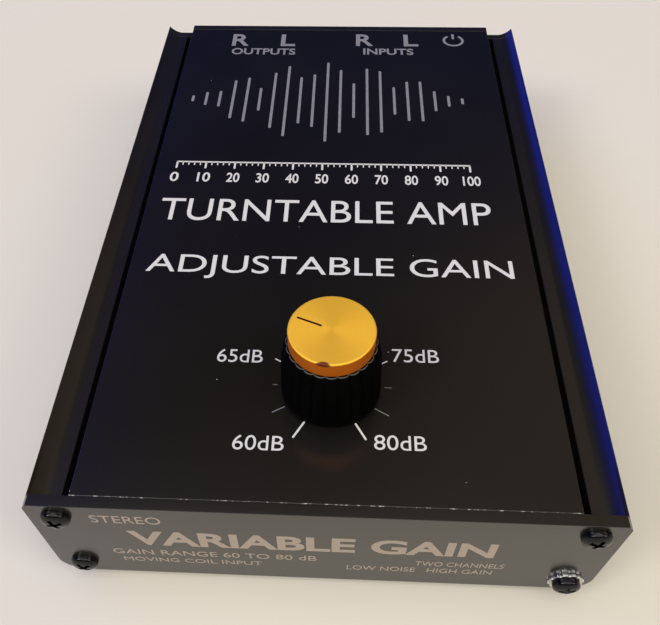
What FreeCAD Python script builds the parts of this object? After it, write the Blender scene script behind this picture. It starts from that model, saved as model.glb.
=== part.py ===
import FreeCAD, Part
import math
import os

# A small desktop phono preamp in an extruded aluminium case with one gain knob.
# Millimetres. +X is to the right, +Y to the rear, +Z up. The origin is in the middle
# of the overall footprint, on the surface that the feet stand on.

V = FreeCAD.Vector

# Case
case_width = 108.0
case_height = 30.2
body_length = 160.0
plate_thickness = 2.3
side_wall = 1.8
floor_thickness = 1.8
corner_radius = 5.4
foot_height = 2.2
foot_radius = 4.8
foot_inset = 13.0
foot_dome = 0.6

# Side rails, from the cover outwards
groove_width = 2.1
groove_depth = 5.4
strip_width = 2.3
strip_drop = 2.4
flank_width = 3.0
flank_sag = 0.4
ridge_width = 0.85
ridge_drop = 0.3
bevel_width = 0.85
bevel_drop = 1.2
ledge_thickness = 1.8
lower_lip = 1.2
slide_clearance = 0.12

# Slide-in cover
cover_thickness = 2.0
cover_leg = 1.9
tongue_reach = 1.8
tongue_thickness = 1.4
cover_boss_radius = 2.5
cover_boss_drop = 4.7

# Case screws
screw_radius = 1.25
thread_clearance = 0.04
screw_length = 11.0
head_radius = 2.7
head_height = 1.95
head_dome = 0.55
head_crown_share = 0.72
hole_radius = 1.6
countersink_radius = 2.9
cross_width = 0.65
cross_span = 3.2
cross_depth = 1.1
channel_inset = 5.4
channel_drop = 4.3
lower_channel_rise = 5.0
channel_wall = 1.5
channel_slit = 1.4
lock_washer_radius = 3.5
lock_washer_thickness = 0.7
lock_washer_teeth = 12
lock_washer_notch = 0.42

# Knob
knob_x = 0.9
knob_from_front = 27.7
knob_gap = 0.5
knob_base_radius = 9.8
knob_belly_radius = 9.5
knob_belly_height = 10.0
knob_shoulder_radius = 8.65
knob_rim = 1.0
knob_body_height = 14.1
flute_count = 24
flute_radius = 0.85
flute_depth = 0.42
flute_overlap = 0.3
first_flute_angle = 8.5
cap_radius = 8.05
cap_height = 3.4
cap_wall = 0.8
cap_bevel = 0.3
pointer_angle = 158.0
pointer_width = 0.42
pointer_depth = 0.25
pointer_inner = 2.0
pointer_outer = 6.9
recess_radius = 7.0
recess_depth = 4.1
bush_radius = 5.0
bush_end = 1.0
set_screw_radius = 1.45
set_screw_height = 9.0
set_screw_socket = 0.8
set_screw_inset = 1.5

# Potentiometer
pot_side = 11.6
pot_height = 12.6
pot_cavity_radius = 5.0
pot_floor = 1.0
flange_thickness = 1.2
neck_radius = 3.5
neck_above_cover = 3.9
neck_clearance = 0.1
shaft_radius = 3.0
shaft_above_cover = 12.4
shaft_clearance = 0.05
shaft_flat_share = 0.8
shaft_flat_gap = 0.5
spindle_radius = 1.6
spindle_gap = 0.3
rotor_fit = 0.01
collar_radius = 4.0
collar_thickness = 1.0
wafer_thickness = 0.8
rotor_radius = 4.3
rotor_thickness = 1.2
rotor_gap = 0.35
wafer_pitch = 4.6
pin_pitch = 2.5
pin_width = 0.8
pin_thickness = 0.3
pin_drop_gap = 1.2
pin_row_step = 1.5
finger_inner = 2.4
finger_outer = 3.6
finger_half = 0.4
pot_washer_thickness = 0.5
pot_washer_radius = 5.6
pot_washer_teeth = 12
pot_washer_notch = 0.45
pot_nut_flats = 10.0
pot_nut_thickness = 2.0

# Circuit board
board_thickness = 1.6
board_front_gap = 4.0
board_rear_gap = 20.0
board_side_gap = 0.25
board_slot_clearance = 0.1
board_rib = 1.2
board_rib_reach = 2.2
lead_below = 1.6

# Board components, places counted from the front edge of the board
lead_radius = 0.3
lead_hole_clearance = 0.1
chip_width = 6.4
chip_length = 9.6
chip_thickness = 3.3
socket_width = 10.2
socket_height = 4.4
socket_end = 0.3
socket_opening = 4.4
socket_bridge = 2.0
socket_pin_radius = 0.25
chip_pitch = 2.54
chip_row_offset = 3.81
chip_legs_per_side = 4
chip_leg_thickness = 0.3
chip_leg_width = 1.2
chip_leg_low = 1.5
chip_leg_high = 1.8
chip_notch_radius = 0.8
chip_notch_depth = 0.6
chip_share_x = 0.5
chip_from_front = 44.0
can_radius = 4.0
can_height = 11.0
can_bevel = 0.5
can_lead_spacing = 3.5
can_offset_x = 10.0
can_pitch_y = 12.0
can_from_front = 44.0
film_length = 7.2
film_width = 3.0
film_height = 6.5
film_lead_spacing = 5.0
film_share_x = 0.5
film_from_front = 62.0
film_pitch_y = 7.0
resistor_radius = 1.15
resistor_length = 6.3
resistor_span = 10.2
resistor_lift = 0.4
resistor_pitch_y = 5.0
resistor_from_front = 82.0
resistor_share_x = 0.46
resistors_per_column = 5
converter_width = 21.0
converter_depth = 14.0
converter_height = 8.0
converter_from_front = 10.0
converter_from_side = 24.0
converter_pins = 5
converter_pin_inset = 2.0

# Phono sockets
socket_drop = 15.0
output_right_x = -29.9
input_right_x = 7.6
socket_pitch = 14.3
barrel_radius = 4.15
barrel_length = 8.0
barrel_bore = 3.5
flange_flats = 9.6
socket_flange = 2.0
socket_neck = 3.9
neck_behind = 5.0
washer_radius = 5.4
washer_thickness = 1.0
washer_sleeve = 0.6
lug_thickness = 0.5
lug_radius = 5.0
lug_reach = 9.0
lug_width = 2.6
socket_nut_thickness = 2.4
contact_radius = 2.1
contact_bore = 1.65
contact_bore_length = 9.0
tail_radius = 1.0
tail_length = 4.0
fit_clearance = 0.04
core_recess = 0.3

# Power socket
power_x = 35.0
power_neck_radius = 3.9
power_neck_length = 3.2
power_bore = 2.85
power_bore_length = 9.5
power_body_side = 11.0
power_body_length = 11.0
power_pin_radius = 1.0
power_pin_below = 1.0
power_nut_flats = 10.0
power_nut_thickness = 2.0
spring_thickness = 0.4
spring_width = 2.2
spring_bulge = 0.25
power_tag_width = 2.0
power_tag_thickness = 0.4
power_lug_length = 4.0
power_lug_rise = 3.5
power_lug_spacing = 6.0

# Ground post
post_x = -3.8
post_radius = 2.0
post_inside = 7.5
post_outside = 13.0
post_bevel = 0.5
post_nut_flats = 7.0
post_nut_thickness = 2.2
clamp_washer_radius = 4.5
clamp_washer_thickness = 0.8
thumb_radius = 5.0
thumb_height = 6.2
thumb_shoulder = 1.0
thumb_shoulder_inset = 0.3
thumb_flutes = 22
thumb_flute_radius = 0.55
thumb_flute_offset = 0.15
face_gap = 0.05

# Wires inside the case
wire_radius = 0.65
bend_share = 0.45
wire_hump = 6.0
wire_rise = 1.0
wire_level_share = 0.28
wire_crest_share = 0.62
wire_tab_inset = 1.5
ground_tab_inset = 2.5
pad_from_rear = 5.0
pad_spacing = 3.2

# Places worked out from the sizes above
half_width = case_width / 2
case_length = body_length + 2 * plate_thickness
head_sink = countersink_radius - head_radius
front_reach = head_height + lock_washer_thickness
overall_length = front_reach + case_length + post_outside
front_y = -overall_length / 2 + front_reach
body_front_y = front_y + plate_thickness
body_rear_y = body_front_y + body_length
rear_y = body_rear_y + plate_thickness
base_z = foot_height
top_z = base_z + case_height
rail_width = groove_width + strip_width + flank_width + ridge_width
cover_half = half_width - rail_width
groove_outer_x = cover_half + groove_width
strip_outer_x = groove_outer_x + strip_width
peak_x = strip_outer_x + flank_width
strip_z = top_z - strip_drop
groove_z = top_z - groove_depth
slot_top_z = groove_z - ledge_thickness
slot_height = tongue_thickness + slide_clearance
slot_bottom_z = slot_top_z - slot_height
rail_bottom_z = slot_bottom_z - lower_lip
ledge_x = cover_half + slide_clearance
tongue_x = cover_half + tongue_reach
inner_half = half_width - side_wall
channel_x = half_width - channel_inset
channel_z = top_z - channel_drop
lower_channel_z = base_z + lower_channel_rise
channel_radius = screw_radius + thread_clearance
cover_boss_x = cover_half - cover_boss_radius
cover_boss_z = top_z - cover_boss_drop
knob_y = front_y + knob_from_front
cover_under_z = top_z - cover_thickness
board_top_z = cover_under_z - pot_height
board_bottom_z = board_top_z - board_thickness
board_half = inner_half - board_side_gap
chip_offset_x = board_half * chip_share_x
film_offset_x = board_half * film_share_x
resistor_offset_x = board_half * resistor_share_x
converter_x = board_half - converter_from_side
board_front_y = body_front_y + board_front_gap
board_rear_y = body_rear_y - board_rear_gap
socket_z = top_z - socket_drop
socket_xs = [output_right_x, output_right_x + socket_pitch, input_right_x, input_right_x + socket_pitch]
socket_face_y = rear_y + washer_thickness
neck_end_y = body_rear_y - neck_behind
tail_end_y = neck_end_y - tail_length


def save(name, solids):
    """Writes the solids of one sub-part."""
    shape = solids[0] if len(solids) == 1 else Part.makeCompound(solids)
    shape.exportStep("parts/" + name + ".step")


def block(x0, x1, y0, y1, z0, z1):
    """A rectangular block between two corners."""
    return Part.makeBox(x1 - x0, y1 - y0, z1 - z0, V(x0, y0, z0))


def upright(radius, x, y, z0, z1):
    """A cylinder that stands along Z."""
    return Part.makeCylinder(radius, z1 - z0, V(x, y, z0))


def lying(radius, x, z, y0, y1):
    """A cylinder that lies along Y."""
    return Part.makeCylinder(radius, y1 - y0, V(x, y0, z), V(0, 1, 0))


def hexagon(flats, x, z, y0, y1):
    """A hexagonal bar along Y with a flat side on top."""
    corner = flats / math.sqrt(3)
    points = []
    for turn in range(7):
        angle = math.radians(60 * turn)
        points.append(V(x + corner * math.cos(angle), y0, z + corner * math.sin(angle)))
    return Part.Face(Part.makePolygon(points)).extrude(V(0, y1 - y0, 0))


def section(start, steps, y0, y1):
    """A bar along Y. A step is a point, or the middle and the end of an arc."""
    edges = []
    here = V(start[0], y0, start[1])
    for step in steps + [start]:
        end = V(step[-2], y0, step[-1])
        if len(step) == 4:
            edges.append(Part.Arc(here, V(step[0], y0, step[1]), end).toShape())
        else:
            edges.append(Part.LineSegment(here, end).toShape())
        here = end
    return Part.Face(Part.Wire(edges)).extrude(V(0, y1 - y0, 0))


def both_sides(half):
    """A half section and its mirror image as one solid."""
    return half.fuse(half.mirror(V(0, 0, 0), V(1, 0, 0))).removeSplitter()


def lathe(profile, x, y):
    """A solid turned about an upright axis, from (radius, height) points."""
    points = [V(x + radius, y, z) for radius, z in profile]
    face = Part.Face(Part.makePolygon(points + points[:1]))
    return face.revolve(V(x, y, 0), V(0, 0, 1), 360)


def on_ring(shape, centre, angle, axis=V(0, 0, 1)):
    """A copy turned about an axis through a centre."""
    copy = shape.copy()
    copy.rotate(centre, axis, angle)
    return copy


def rounded_route(points):
    """Straight runs joined by tangent arcs, each as large as its two runs allow."""
    edges = []
    here = points[0]
    smallest = None
    for before, corner, after in zip(points, points[1:], points[2:]):
        back = before.sub(corner)
        ahead = after.sub(corner)
        shorter = min(back.Length, ahead.Length)
        back.normalize()
        ahead.normalize()
        half_turn = (math.pi - back.getAngle(ahead)) / 2
        setback = bend_share * shorter
        radius = setback / math.tan(half_turn)
        smallest = radius if smallest is None else min(smallest, radius)
        start = corner + back * setback
        end = corner + ahead * setback
        inward = back + ahead
        inward.normalize()
        reach = radius / math.cos(half_turn) - radius
        edges.append(Part.LineSegment(here, start).toShape())
        edges.append(Part.Arc(start, corner + inward * reach, end).toShape())
        here = end
    edges.append(Part.LineSegment(here, points[-1]).toShape())
    return Part.Wire(edges), smallest


def tube_along(points, radius):
    """A round tube along a rounded route, with the length and least radius of the route."""
    path, smallest = rounded_route(points)
    ring = Part.Wire(Part.Circle(points[0], points[1].sub(points[0]), radius).toShape())
    return path.makePipeShell([ring], True, False), path.Length, smallest


def corner_mid(side):
    """The middle of the arc round a lower corner of the case."""
    inward = corner_radius * (1 - math.sqrt(0.5))
    return side * (half_width - inward), base_z + inward


def lower_corner():
    """Steps along the right half of the base and round its corner."""
    return [
        (half_width - corner_radius, base_z),
        corner_mid(1) + (half_width, base_z + corner_radius),
    ]


def ridge_and_flank():
    """Steps over the ridge and down the hollow flank to the strip."""
    sag = flank_sag * math.sqrt(0.5)
    flank_mid = ((strip_outer_x + peak_x) / 2 + sag, (strip_z + top_z - ridge_drop) / 2 - sag)
    return [
        (half_width, top_z - bevel_drop),
        (peak_x, top_z - ridge_drop),
        flank_mid + (strip_outer_x, strip_z),
    ]


def case_body():
    """The extruded tray with a rail along the top of each side wall."""
    rise = math.sqrt(channel_radius ** 2 - (channel_x - groove_outer_x) ** 2)
    run = math.sqrt(channel_radius ** 2 - (channel_z - groove_z) ** 2)
    steps = lower_corner() + ridge_and_flank() + [
        (groove_outer_x, strip_z),
        (groove_outer_x, channel_z + rise),
        (channel_x + channel_radius, channel_z, channel_x - run, groove_z),
        (ledge_x, groove_z),
        (ledge_x, slot_top_z),
        (tongue_x + slide_clearance, slot_top_z),
        (tongue_x + slide_clearance, slot_bottom_z),
        (ledge_x, slot_bottom_z),
        (ledge_x, rail_bottom_z),
        (inner_half, rail_bottom_z),
        (inner_half, base_z + floor_thickness),
        (0, base_z + floor_thickness),
    ]
    half = section((0, base_z), steps, body_front_y, body_rear_y)
    boss_radius = channel_radius + channel_wall
    boss = lying(boss_radius, channel_x, lower_channel_z, body_front_y, body_rear_y)
    web = block(channel_x, inner_half, body_front_y, body_rear_y, base_z + floor_thickness, lower_channel_z)
    half = half.fuse([boss, web])
    floor_z = base_z + floor_thickness
    root = block(channel_x - boss_radius, channel_x, body_front_y, body_rear_y, floor_z, lower_channel_z)
    half = half.fuse(root)
    for low in (board_top_z + board_slot_clearance, board_bottom_z - board_slot_clearance - board_rib):
        rib = block(inner_half - board_rib_reach, inner_half, body_front_y, body_rear_y, low, low + board_rib)
        half = half.fuse(rib)
    half = half.cut(lying(channel_radius, channel_x, lower_channel_z, body_front_y, body_rear_y))
    slit_end = lower_channel_z + boss_radius
    slit = block(channel_x - channel_slit / 2, channel_x + channel_slit / 2, body_front_y, body_rear_y,
                 lower_channel_z, slit_end)
    half = half.cut(slit)
    return both_sides(half)


def top_cover():
    """The flat cover with a leg, a sliding tongue and a screw channel at each side."""
    steps = [
        (cover_half, top_z),
        (cover_half, slot_bottom_z + tongue_thickness),
        (tongue_x, slot_bottom_z + tongue_thickness),
        (tongue_x, slot_bottom_z),
        (cover_half - cover_leg, slot_bottom_z),
        (cover_half - cover_leg, cover_under_z),
        (0, cover_under_z),
    ]
    half = section((0, top_z), steps, body_front_y, body_rear_y)
    boss = lying(cover_boss_radius, cover_boss_x, cover_boss_z, body_front_y, body_rear_y)
    web = block(cover_boss_x - cover_boss_radius, cover_boss_x, body_front_y, body_rear_y,
                cover_boss_z, cover_under_z)
    half = half.fuse([boss, web])
    half = half.cut(lying(channel_radius, cover_boss_x, cover_boss_z, body_front_y, body_rear_y))
    cover = both_sides(half)
    hole = upright(neck_radius + neck_clearance, knob_x, knob_y, cover_under_z, top_z)
    return cover.cut(hole)


def screw_hole(x, z, face_y, outward):
    """A hole through an end plate with a countersink on its outer face."""
    start = face_y - outward * plate_thickness
    hole = Part.makeCylinder(hole_radius, plate_thickness, V(x, start, z), V(0, outward, 0))
    depth = countersink_radius - hole_radius
    sink = Part.makeCone(hole_radius, countersink_radius, depth, V(x, face_y - outward * depth, z),
                         V(0, outward, 0))
    return hole.fuse(sink)


def front_screw_places():
    """Where the front plate's screws go, the lower right one last."""
    return [(-channel_x, channel_z), (channel_x, channel_z), (-channel_x, lower_channel_z),
            (channel_x, lower_channel_z)]


def rear_screw_places():
    """Two screws into the cover, two into the case body."""
    return [(-cover_boss_x, cover_boss_z), (cover_boss_x, cover_boss_z), (-channel_x, lower_channel_z),
            (channel_x, lower_channel_z)]


def front_plate():
    """The flat plate that closes the front and hides the ends of the rails."""
    steps = lower_corner() + [
        (half_width, top_z - bevel_drop),
        (half_width - bevel_width, top_z),
        (0, top_z),
    ]
    plate = both_sides(section((0, base_z), steps, front_y, body_front_y))
    for x, z in front_screw_places():
        plate = plate.cut(screw_hole(x, z, front_y, -1))
    return plate


def rear_plate():
    """The plate at the rear, which follows the rails and closes the ends of the grooves."""
    steps = lower_corner() + ridge_and_flank() + [
        (cover_half, strip_z),
        (cover_half, top_z),
        (0, top_z),
    ]
    plate = both_sides(section((0, base_z), steps, body_rear_y, rear_y))
    for x, z in rear_screw_places():
        plate = plate.cut(screw_hole(x, z, rear_y, 1))
    sleeve_radius = socket_neck + washer_sleeve
    for x in socket_xs:
        plate = plate.cut(lying(sleeve_radius + fit_clearance, x, socket_z, body_rear_y, rear_y))
    plate = plate.cut(lying(power_neck_radius + fit_clearance, power_x, socket_z, body_rear_y, rear_y))
    return plate.cut(lying(post_radius + fit_clearance, post_x, socket_z, body_rear_y, rear_y))


def pan_screw(x, z, face_y, outward, out=0.0):
    """A pan-head screw with a cross recess, its head seated in a countersink."""
    seat = face_y + outward * (out - head_sink)
    along = V(0, outward, 0)
    shank = Part.makeCylinder(screw_radius, screw_length, V(x, seat, z), V(0, -outward, 0))
    rim = Part.makeCylinder(head_radius, head_height - head_dome, V(x, seat, z), along)
    crown_base = V(x, seat + outward * (head_height - head_dome), z)
    crown = Part.makeCone(head_radius, head_radius * head_crown_share, head_dome, crown_base, along)
    screw = shank.fuse([rim, crown]).removeSplitter()
    front = seat + outward * head_height
    low, high = sorted((front - outward * cross_depth, front))
    for across, tall in ((cross_span, cross_width), (cross_width, cross_span)):
        screw = screw.cut(block(x - across / 2, x + across / 2, low, high, z - tall / 2, z + tall / 2))
    return screw


def case_screws():
    """The screws of both end plates."""
    places = front_screw_places()
    outs = [0.0, 0.0, 0.0, lock_washer_thickness + head_sink]
    front = [pan_screw(x, z, front_y, -1, out) for (x, z), out in zip(places, outs)]
    rear = [pan_screw(x, z, rear_y, 1) for x, z in rear_screw_places()]
    return front, rear


def front_lock_washer():
    """The toothed washer under the lower right screw, which makes that screw stand out."""
    x, z = front_screw_places()[-1]
    outer_y = front_y - lock_washer_thickness
    washer = lying(lock_washer_radius, x, z, outer_y, front_y)
    washer = washer.cut(lying(screw_radius + fit_clearance, x, z, outer_y, front_y))
    notch = lying(lock_washer_notch, x + lock_washer_radius, z, outer_y, front_y)
    centre = V(x, 0, z)
    for turn in range(lock_washer_teeth):
        washer = washer.cut(on_ring(notch, centre, 360 * turn / lock_washer_teeth, V(0, 1, 0)))
    return washer


def rubber_feet():
    """Four stick-on feet with a rounded edge."""
    feet = []
    for side in (-1, 1):
        for y in (front_y + foot_inset, rear_y - foot_inset):
            x = side * (half_width - foot_inset)
            profile = [(0, 0), (foot_radius - foot_dome, 0), (foot_radius, foot_dome),
                       (foot_radius, foot_height), (0, foot_height)]
            feet.append(lathe(profile, x, y))
    return feet


def set_screw_cut(radius, inner, outer):
    """A radial cylinder through the knob, on the pointer's side."""
    angle = math.radians(pointer_angle)
    along = V(math.cos(angle), math.sin(angle), 0)
    start = V(knob_x, knob_y, top_z + set_screw_height) + along * inner
    return Part.makeCylinder(radius, outer - inner, start, along)


def knob_body():
    """The fluted knob with a hollow underside that clears the nut."""
    bottom = top_z + knob_gap
    shoulder = bottom + knob_body_height
    recess_top = bottom + recess_depth
    boss_top = shoulder + cap_height - cap_wall - face_gap
    boss_radius = cap_radius - cap_wall - fit_clearance
    bush_top = shoulder - bush_end / 2
    profile = [
        (recess_radius, bottom),
        (knob_base_radius, bottom),
        (knob_base_radius, bottom + knob_rim),
        (knob_belly_radius, bottom + knob_belly_height),
        (knob_shoulder_radius, shoulder),
        (boss_radius, shoulder),
        (boss_radius, boss_top),
        (0, boss_top),
        (0, bush_top),
        (bush_radius, bush_top),
        (bush_radius, recess_top),
        (recess_radius, recess_top),
    ]
    knob = lathe(profile, knob_x, knob_y)
    outward = knob_x + flute_radius - flute_depth
    foot = V(outward + knob_base_radius, knob_y, bottom + knob_rim)
    belly = V(outward + knob_belly_radius, knob_y, bottom + knob_belly_height)
    head = V(outward + knob_shoulder_radius, knob_y, shoulder)
    rise = belly.sub(foot)
    lean = head.sub(belly)
    flute = Part.makeCylinder(flute_radius, rise.Length + flute_overlap, foot, rise)
    start = belly.sub(lean * (flute_overlap / lean.Length))
    upper = Part.makeCylinder(flute_radius, lean.Length + 4 * flute_overlap, start, lean)
    flute = flute.fuse(upper)
    centre = V(knob_x, knob_y, 0)
    for turn in range(flute_count):
        knob = knob.cut(on_ring(flute, centre, first_flute_angle + 360 * turn / flute_count))
    return knob.cut(set_screw_cut(set_screw_radius + fit_clearance, 0, 2 * knob_base_radius))


def knob_cap():
    """The spun metal cap with an engraved pointer line."""
    low = top_z + knob_gap + knob_body_height
    high = low + cap_height
    inner = cap_radius - cap_wall
    profile = [(inner, low), (cap_radius, low), (cap_radius, high - cap_bevel),
               (cap_radius - cap_bevel, high), (0, high), (0, high - cap_wall), (inner, high - cap_wall)]
    cap = lathe(profile, knob_x, knob_y)
    line = block(knob_x + pointer_inner, knob_x + pointer_outer, knob_y - pointer_width / 2,
                 knob_y + pointer_width / 2, high - pointer_depth, high)
    return cap.cut(on_ring(line, V(knob_x, knob_y, 0), pointer_angle))


def knob_bush():
    """The brass bush that the shaft goes into."""
    low = top_z + knob_gap + recess_depth
    high = top_z + knob_gap + knob_body_height - bush_end / 2 - fit_clearance
    bush = upright(bush_radius - fit_clearance, knob_x, knob_y, low, high)
    bush = bush.cut(upright(shaft_radius + fit_clearance, knob_x, knob_y, low, high - bush_end))
    return bush.cut(set_screw_cut(set_screw_radius + fit_clearance, 0, bush_radius))


def knob_set_screw():
    """The grub screw that presses on the flat of the shaft."""
    tip = shaft_radius * shaft_flat_share
    end = knob_shoulder_radius - set_screw_inset
    screw = set_screw_cut(set_screw_radius, tip, end)
    return screw.cut(set_screw_cut(set_screw_socket, end - set_screw_inset, end))


def pot_levels():
    """The lower faces of the two track wafers."""
    first = board_top_z + pot_floor
    return first, first + wafer_pitch


def pot_terminals(margin=0.0):
    """Six bent pins; with a margin, the slots that they need."""
    pins = []
    wall_y = knob_y - pot_side / 2
    low = board_bottom_z - lead_below
    for row, level in enumerate(pot_levels()):
        z = level + wafer_thickness / 2
        out_y = wall_y - pin_drop_gap - pin_row_step * row
        for column in (-1, 0, 1):
            x = knob_x + column * pin_pitch
            half = pin_width / 2 + margin
            thick = pin_thickness / 2 + margin
            pin = block(x - half, x + half, out_y - thick, knob_y - pot_cavity_radius, z - thick, z + thick)
            leg = block(x - half, x + half, out_y - thick, out_y + thick, low, z + thick)
            pins.append(pin.fuse(leg).removeSplitter())
    return pins


def pot_housing():
    """The square housing, open on top."""
    side = pot_side / 2
    housing = block(knob_x - side, knob_x + side, knob_y - side, knob_y + side, board_top_z, cover_under_z)
    cavity = upright(pot_cavity_radius, knob_x, knob_y, board_top_z + pot_floor, cover_under_z)
    return housing.cut(cavity).cut(pot_terminals(face_gap))


def pot_bushing():
    """The threaded neck and its flange, which closes the housing."""
    low = cover_under_z - flange_thickness
    high = top_z + neck_above_cover
    bore = shaft_radius + shaft_clearance
    flange = pot_cavity_radius - fit_clearance
    profile = [(bore, low), (flange, low), (flange, cover_under_z), (neck_radius, cover_under_z),
               (neck_radius, high), (bore, high)]
    return lathe(profile, knob_x, knob_y)


def pot_shaft():
    """The shaft with its collar, a thinner spindle below and a flat for the grub screw."""
    first = pot_levels()[0]
    collar_top = cover_under_z - flange_thickness - face_gap
    collar_low = collar_top - collar_thickness
    high = top_z + shaft_above_cover
    profile = [(0, first + wafer_thickness + face_gap), (spindle_radius, first + wafer_thickness + face_gap),
               (spindle_radius, collar_low), (collar_radius, collar_low), (collar_radius, collar_top),
               (shaft_radius, collar_top), (shaft_radius, high), (0, high)]
    shaft = lathe(profile, knob_x, knob_y)
    flat_low = top_z + neck_above_cover + shaft_flat_gap
    flat = block(knob_x + shaft_radius * shaft_flat_share, knob_x + 2 * shaft_radius, knob_y - shaft_radius,
                 knob_y + shaft_radius, flat_low, high)
    return shaft.cut(on_ring(flat, V(knob_x, knob_y, 0), pointer_angle))


def pot_wafers():
    """Two round wafers that carry the resistive tracks."""
    radius = pot_cavity_radius - fit_clearance
    wafers = []
    for level in pot_levels():
        wafers.append(upright(radius, knob_x, knob_y, level, level + wafer_thickness))
    hole = upright(spindle_radius + spindle_gap, knob_x, knob_y, pot_levels()[1], cover_under_z)
    wafers[1] = wafers[1].cut(hole)
    return wafers


def pot_rotors():
    """Two wiper carriers on the spindle, each with a raised contact finger."""
    rotors = []
    for level in pot_levels():
        low = level + wafer_thickness + rotor_gap
        rotor = upright(rotor_radius, knob_x, knob_y, low, low + rotor_thickness)
        tip = low - rotor_gap + 2 * face_gap
        finger = block(knob_x + finger_inner, knob_x + finger_outer,
                       knob_y - finger_half, knob_y + finger_half, tip, low)
        rotor = rotor.fuse(on_ring(finger, V(knob_x, knob_y, 0), pointer_angle))
        hole = upright(spindle_radius + rotor_fit, knob_x, knob_y, low, low + rotor_thickness)
        rotors.append(rotor.cut(hole))
    return rotors


def pot_washer():
    """The toothed lock washer on the cover."""
    high = top_z + pot_washer_thickness
    washer = upright(pot_washer_radius, knob_x, knob_y, top_z, high)
    washer = washer.cut(upright(neck_radius + fit_clearance, knob_x, knob_y, top_z, high))
    tooth = upright(pot_washer_notch, knob_x + pot_washer_radius, knob_y, top_z, high)
    centre = V(knob_x, knob_y, 0)
    turns = range(pot_washer_teeth)
    return washer.cut([on_ring(tooth, centre, 360 * turn / pot_washer_teeth) for turn in turns])


def pot_nut():
    """The hexagonal nut that clamps the potentiometer to the cover."""
    low = top_z + pot_washer_thickness
    nut = hexagon(pot_nut_flats, 0, 0, 0, pot_nut_thickness)
    nut.rotate(V(0, 0, 0), V(1, 0, 0), 90)
    nut.translate(V(knob_x, knob_y, low))
    return nut.cut(upright(neck_radius + fit_clearance, knob_x, knob_y, low, low + pot_nut_thickness))


def chip_places():
    """The centres of the two amplifier chips."""
    y = board_front_y + chip_from_front
    return [(-chip_offset_x, y), (chip_offset_x, y)]


def chip_legs(x, y):
    """The places of the eight legs of a chip."""
    legs = []
    for side in (-1, 1):
        for step in range(chip_legs_per_side):
            along = (step - (chip_legs_per_side - 1) / 2) * chip_pitch
            legs.append((x + side * chip_row_offset, y + along))
    return legs


def can_places():
    """The centres of the four electrolytic capacitors."""
    places = []
    for side in (-1, 1):
        for row in range(2):
            places.append((side * can_offset_x, board_front_y + can_from_front + (row - 0.5) * can_pitch_y))
    return places


def film_places():
    """The centres of the film capacitors."""
    places = []
    for side in (-1, 1):
        for row in range(2):
            places.append((side * film_offset_x, board_front_y + film_from_front + row * film_pitch_y))
    return places


def resistor_places():
    """The centres of the resistors, in two columns."""
    places = []
    for side in (-1, 1):
        for row in range(resistors_per_column):
            y = board_front_y + resistor_from_front + row * resistor_pitch_y
            places.append((side * resistor_offset_x, y))
    return places


def two_leads(x, y, spacing, top):
    """Two round leads from a component down through the board."""
    leads = []
    for side in (-1, 1):
        leads.append(upright(lead_radius, x + side * spacing / 2, y, board_bottom_z - lead_below, top))
    return leads


def chip_sockets():
    """The sockets that hold the chips."""
    sockets = []
    for x, y in chip_places():
        half = chip_length / 2 + socket_end
        gap = socket_opening / 2
        socket = block(x - socket_width / 2, x + socket_width / 2, y - half, y + half, board_top_z,
                       board_top_z + socket_height)
        inner = block(x - gap, x + gap, y - half + socket_bridge, y + half - socket_bridge, board_top_z,
                      board_top_z + socket_height)
        socket = socket.cut(inner)
        for leg_x, leg_y in chip_legs(x, y):
            low = board_bottom_z - lead_below
            socket = socket.fuse(upright(socket_pin_radius, leg_x, leg_y, low, board_top_z))
        sockets.append(socket)
    return sockets


def amplifier_chips():
    """Two eight-legged chips, each with a notch at one end."""
    chips = []
    low = board_top_z + socket_height
    for x, y in chip_places():
        chip = block(x - chip_width / 2, x + chip_width / 2, y - chip_length / 2, y + chip_length / 2,
                     low, low + chip_thickness)
        high = low + chip_thickness
        notch = upright(chip_notch_radius, x, y + chip_length / 2, high - chip_notch_depth, high)
        chip = chip.cut(notch)
        for leg_x, leg_y in chip_legs(x, y):
            side = 1 if leg_x > x else -1
            half = chip_leg_width / 2
            outer = leg_x + side * chip_leg_thickness / 2
            near, far = sorted((x + side * chip_width / 2, outer))
            shoulder = block(near, far, leg_y - half, leg_y + half, low + chip_leg_low, low + chip_leg_high)
            near, far = sorted((outer - side * chip_leg_thickness, outer))
            leg = block(near, far, leg_y - half, leg_y + half, low, low + chip_leg_high)
            chip = chip.fuse([shoulder, leg])
        chips.append(chip)
    return chips


def electrolytic_capacitors():
    """Upright cans with a bevelled top and two leads."""
    cans = []
    for x, y in can_places():
        high = board_top_z + can_height
        profile = [(0, board_top_z), (can_radius, board_top_z), (can_radius, high - can_bevel),
                   (can_radius - can_bevel, high), (0, high)]
        cans.append(lathe(profile, x, y).fuse(two_leads(x, y, can_lead_spacing, board_top_z)))
    return cans


def film_capacitors():
    """Small boxed film capacitors."""
    films = []
    for x, y in film_places():
        box = block(x - film_length / 2, x + film_length / 2, y - film_width / 2, y + film_width / 2,
                    board_top_z, board_top_z + film_height)
        films.append(box.fuse(two_leads(x, y, film_lead_spacing, board_top_z)))
    return films


def resistors():
    """Axial resistors on bent leads, close above the board."""
    pieces = []
    for x, y in resistor_places():
        z = board_top_z + resistor_lift + resistor_radius
        start = V(x - resistor_length / 2, y, z)
        body = Part.makeCylinder(resistor_radius, resistor_length, start, V(1, 0, 0))
        for side in (-1, 1):
            bend = x + side * (resistor_span / 2 - lead_radius)
            low = board_bottom_z - lead_below
            points = [V(x + side * resistor_length / 2, y, z), V(bend, y, z), V(bend, y, low)]
            body = body.fuse(tube_along(points, lead_radius)[0])
        pieces.append(body)
    return pieces


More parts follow.
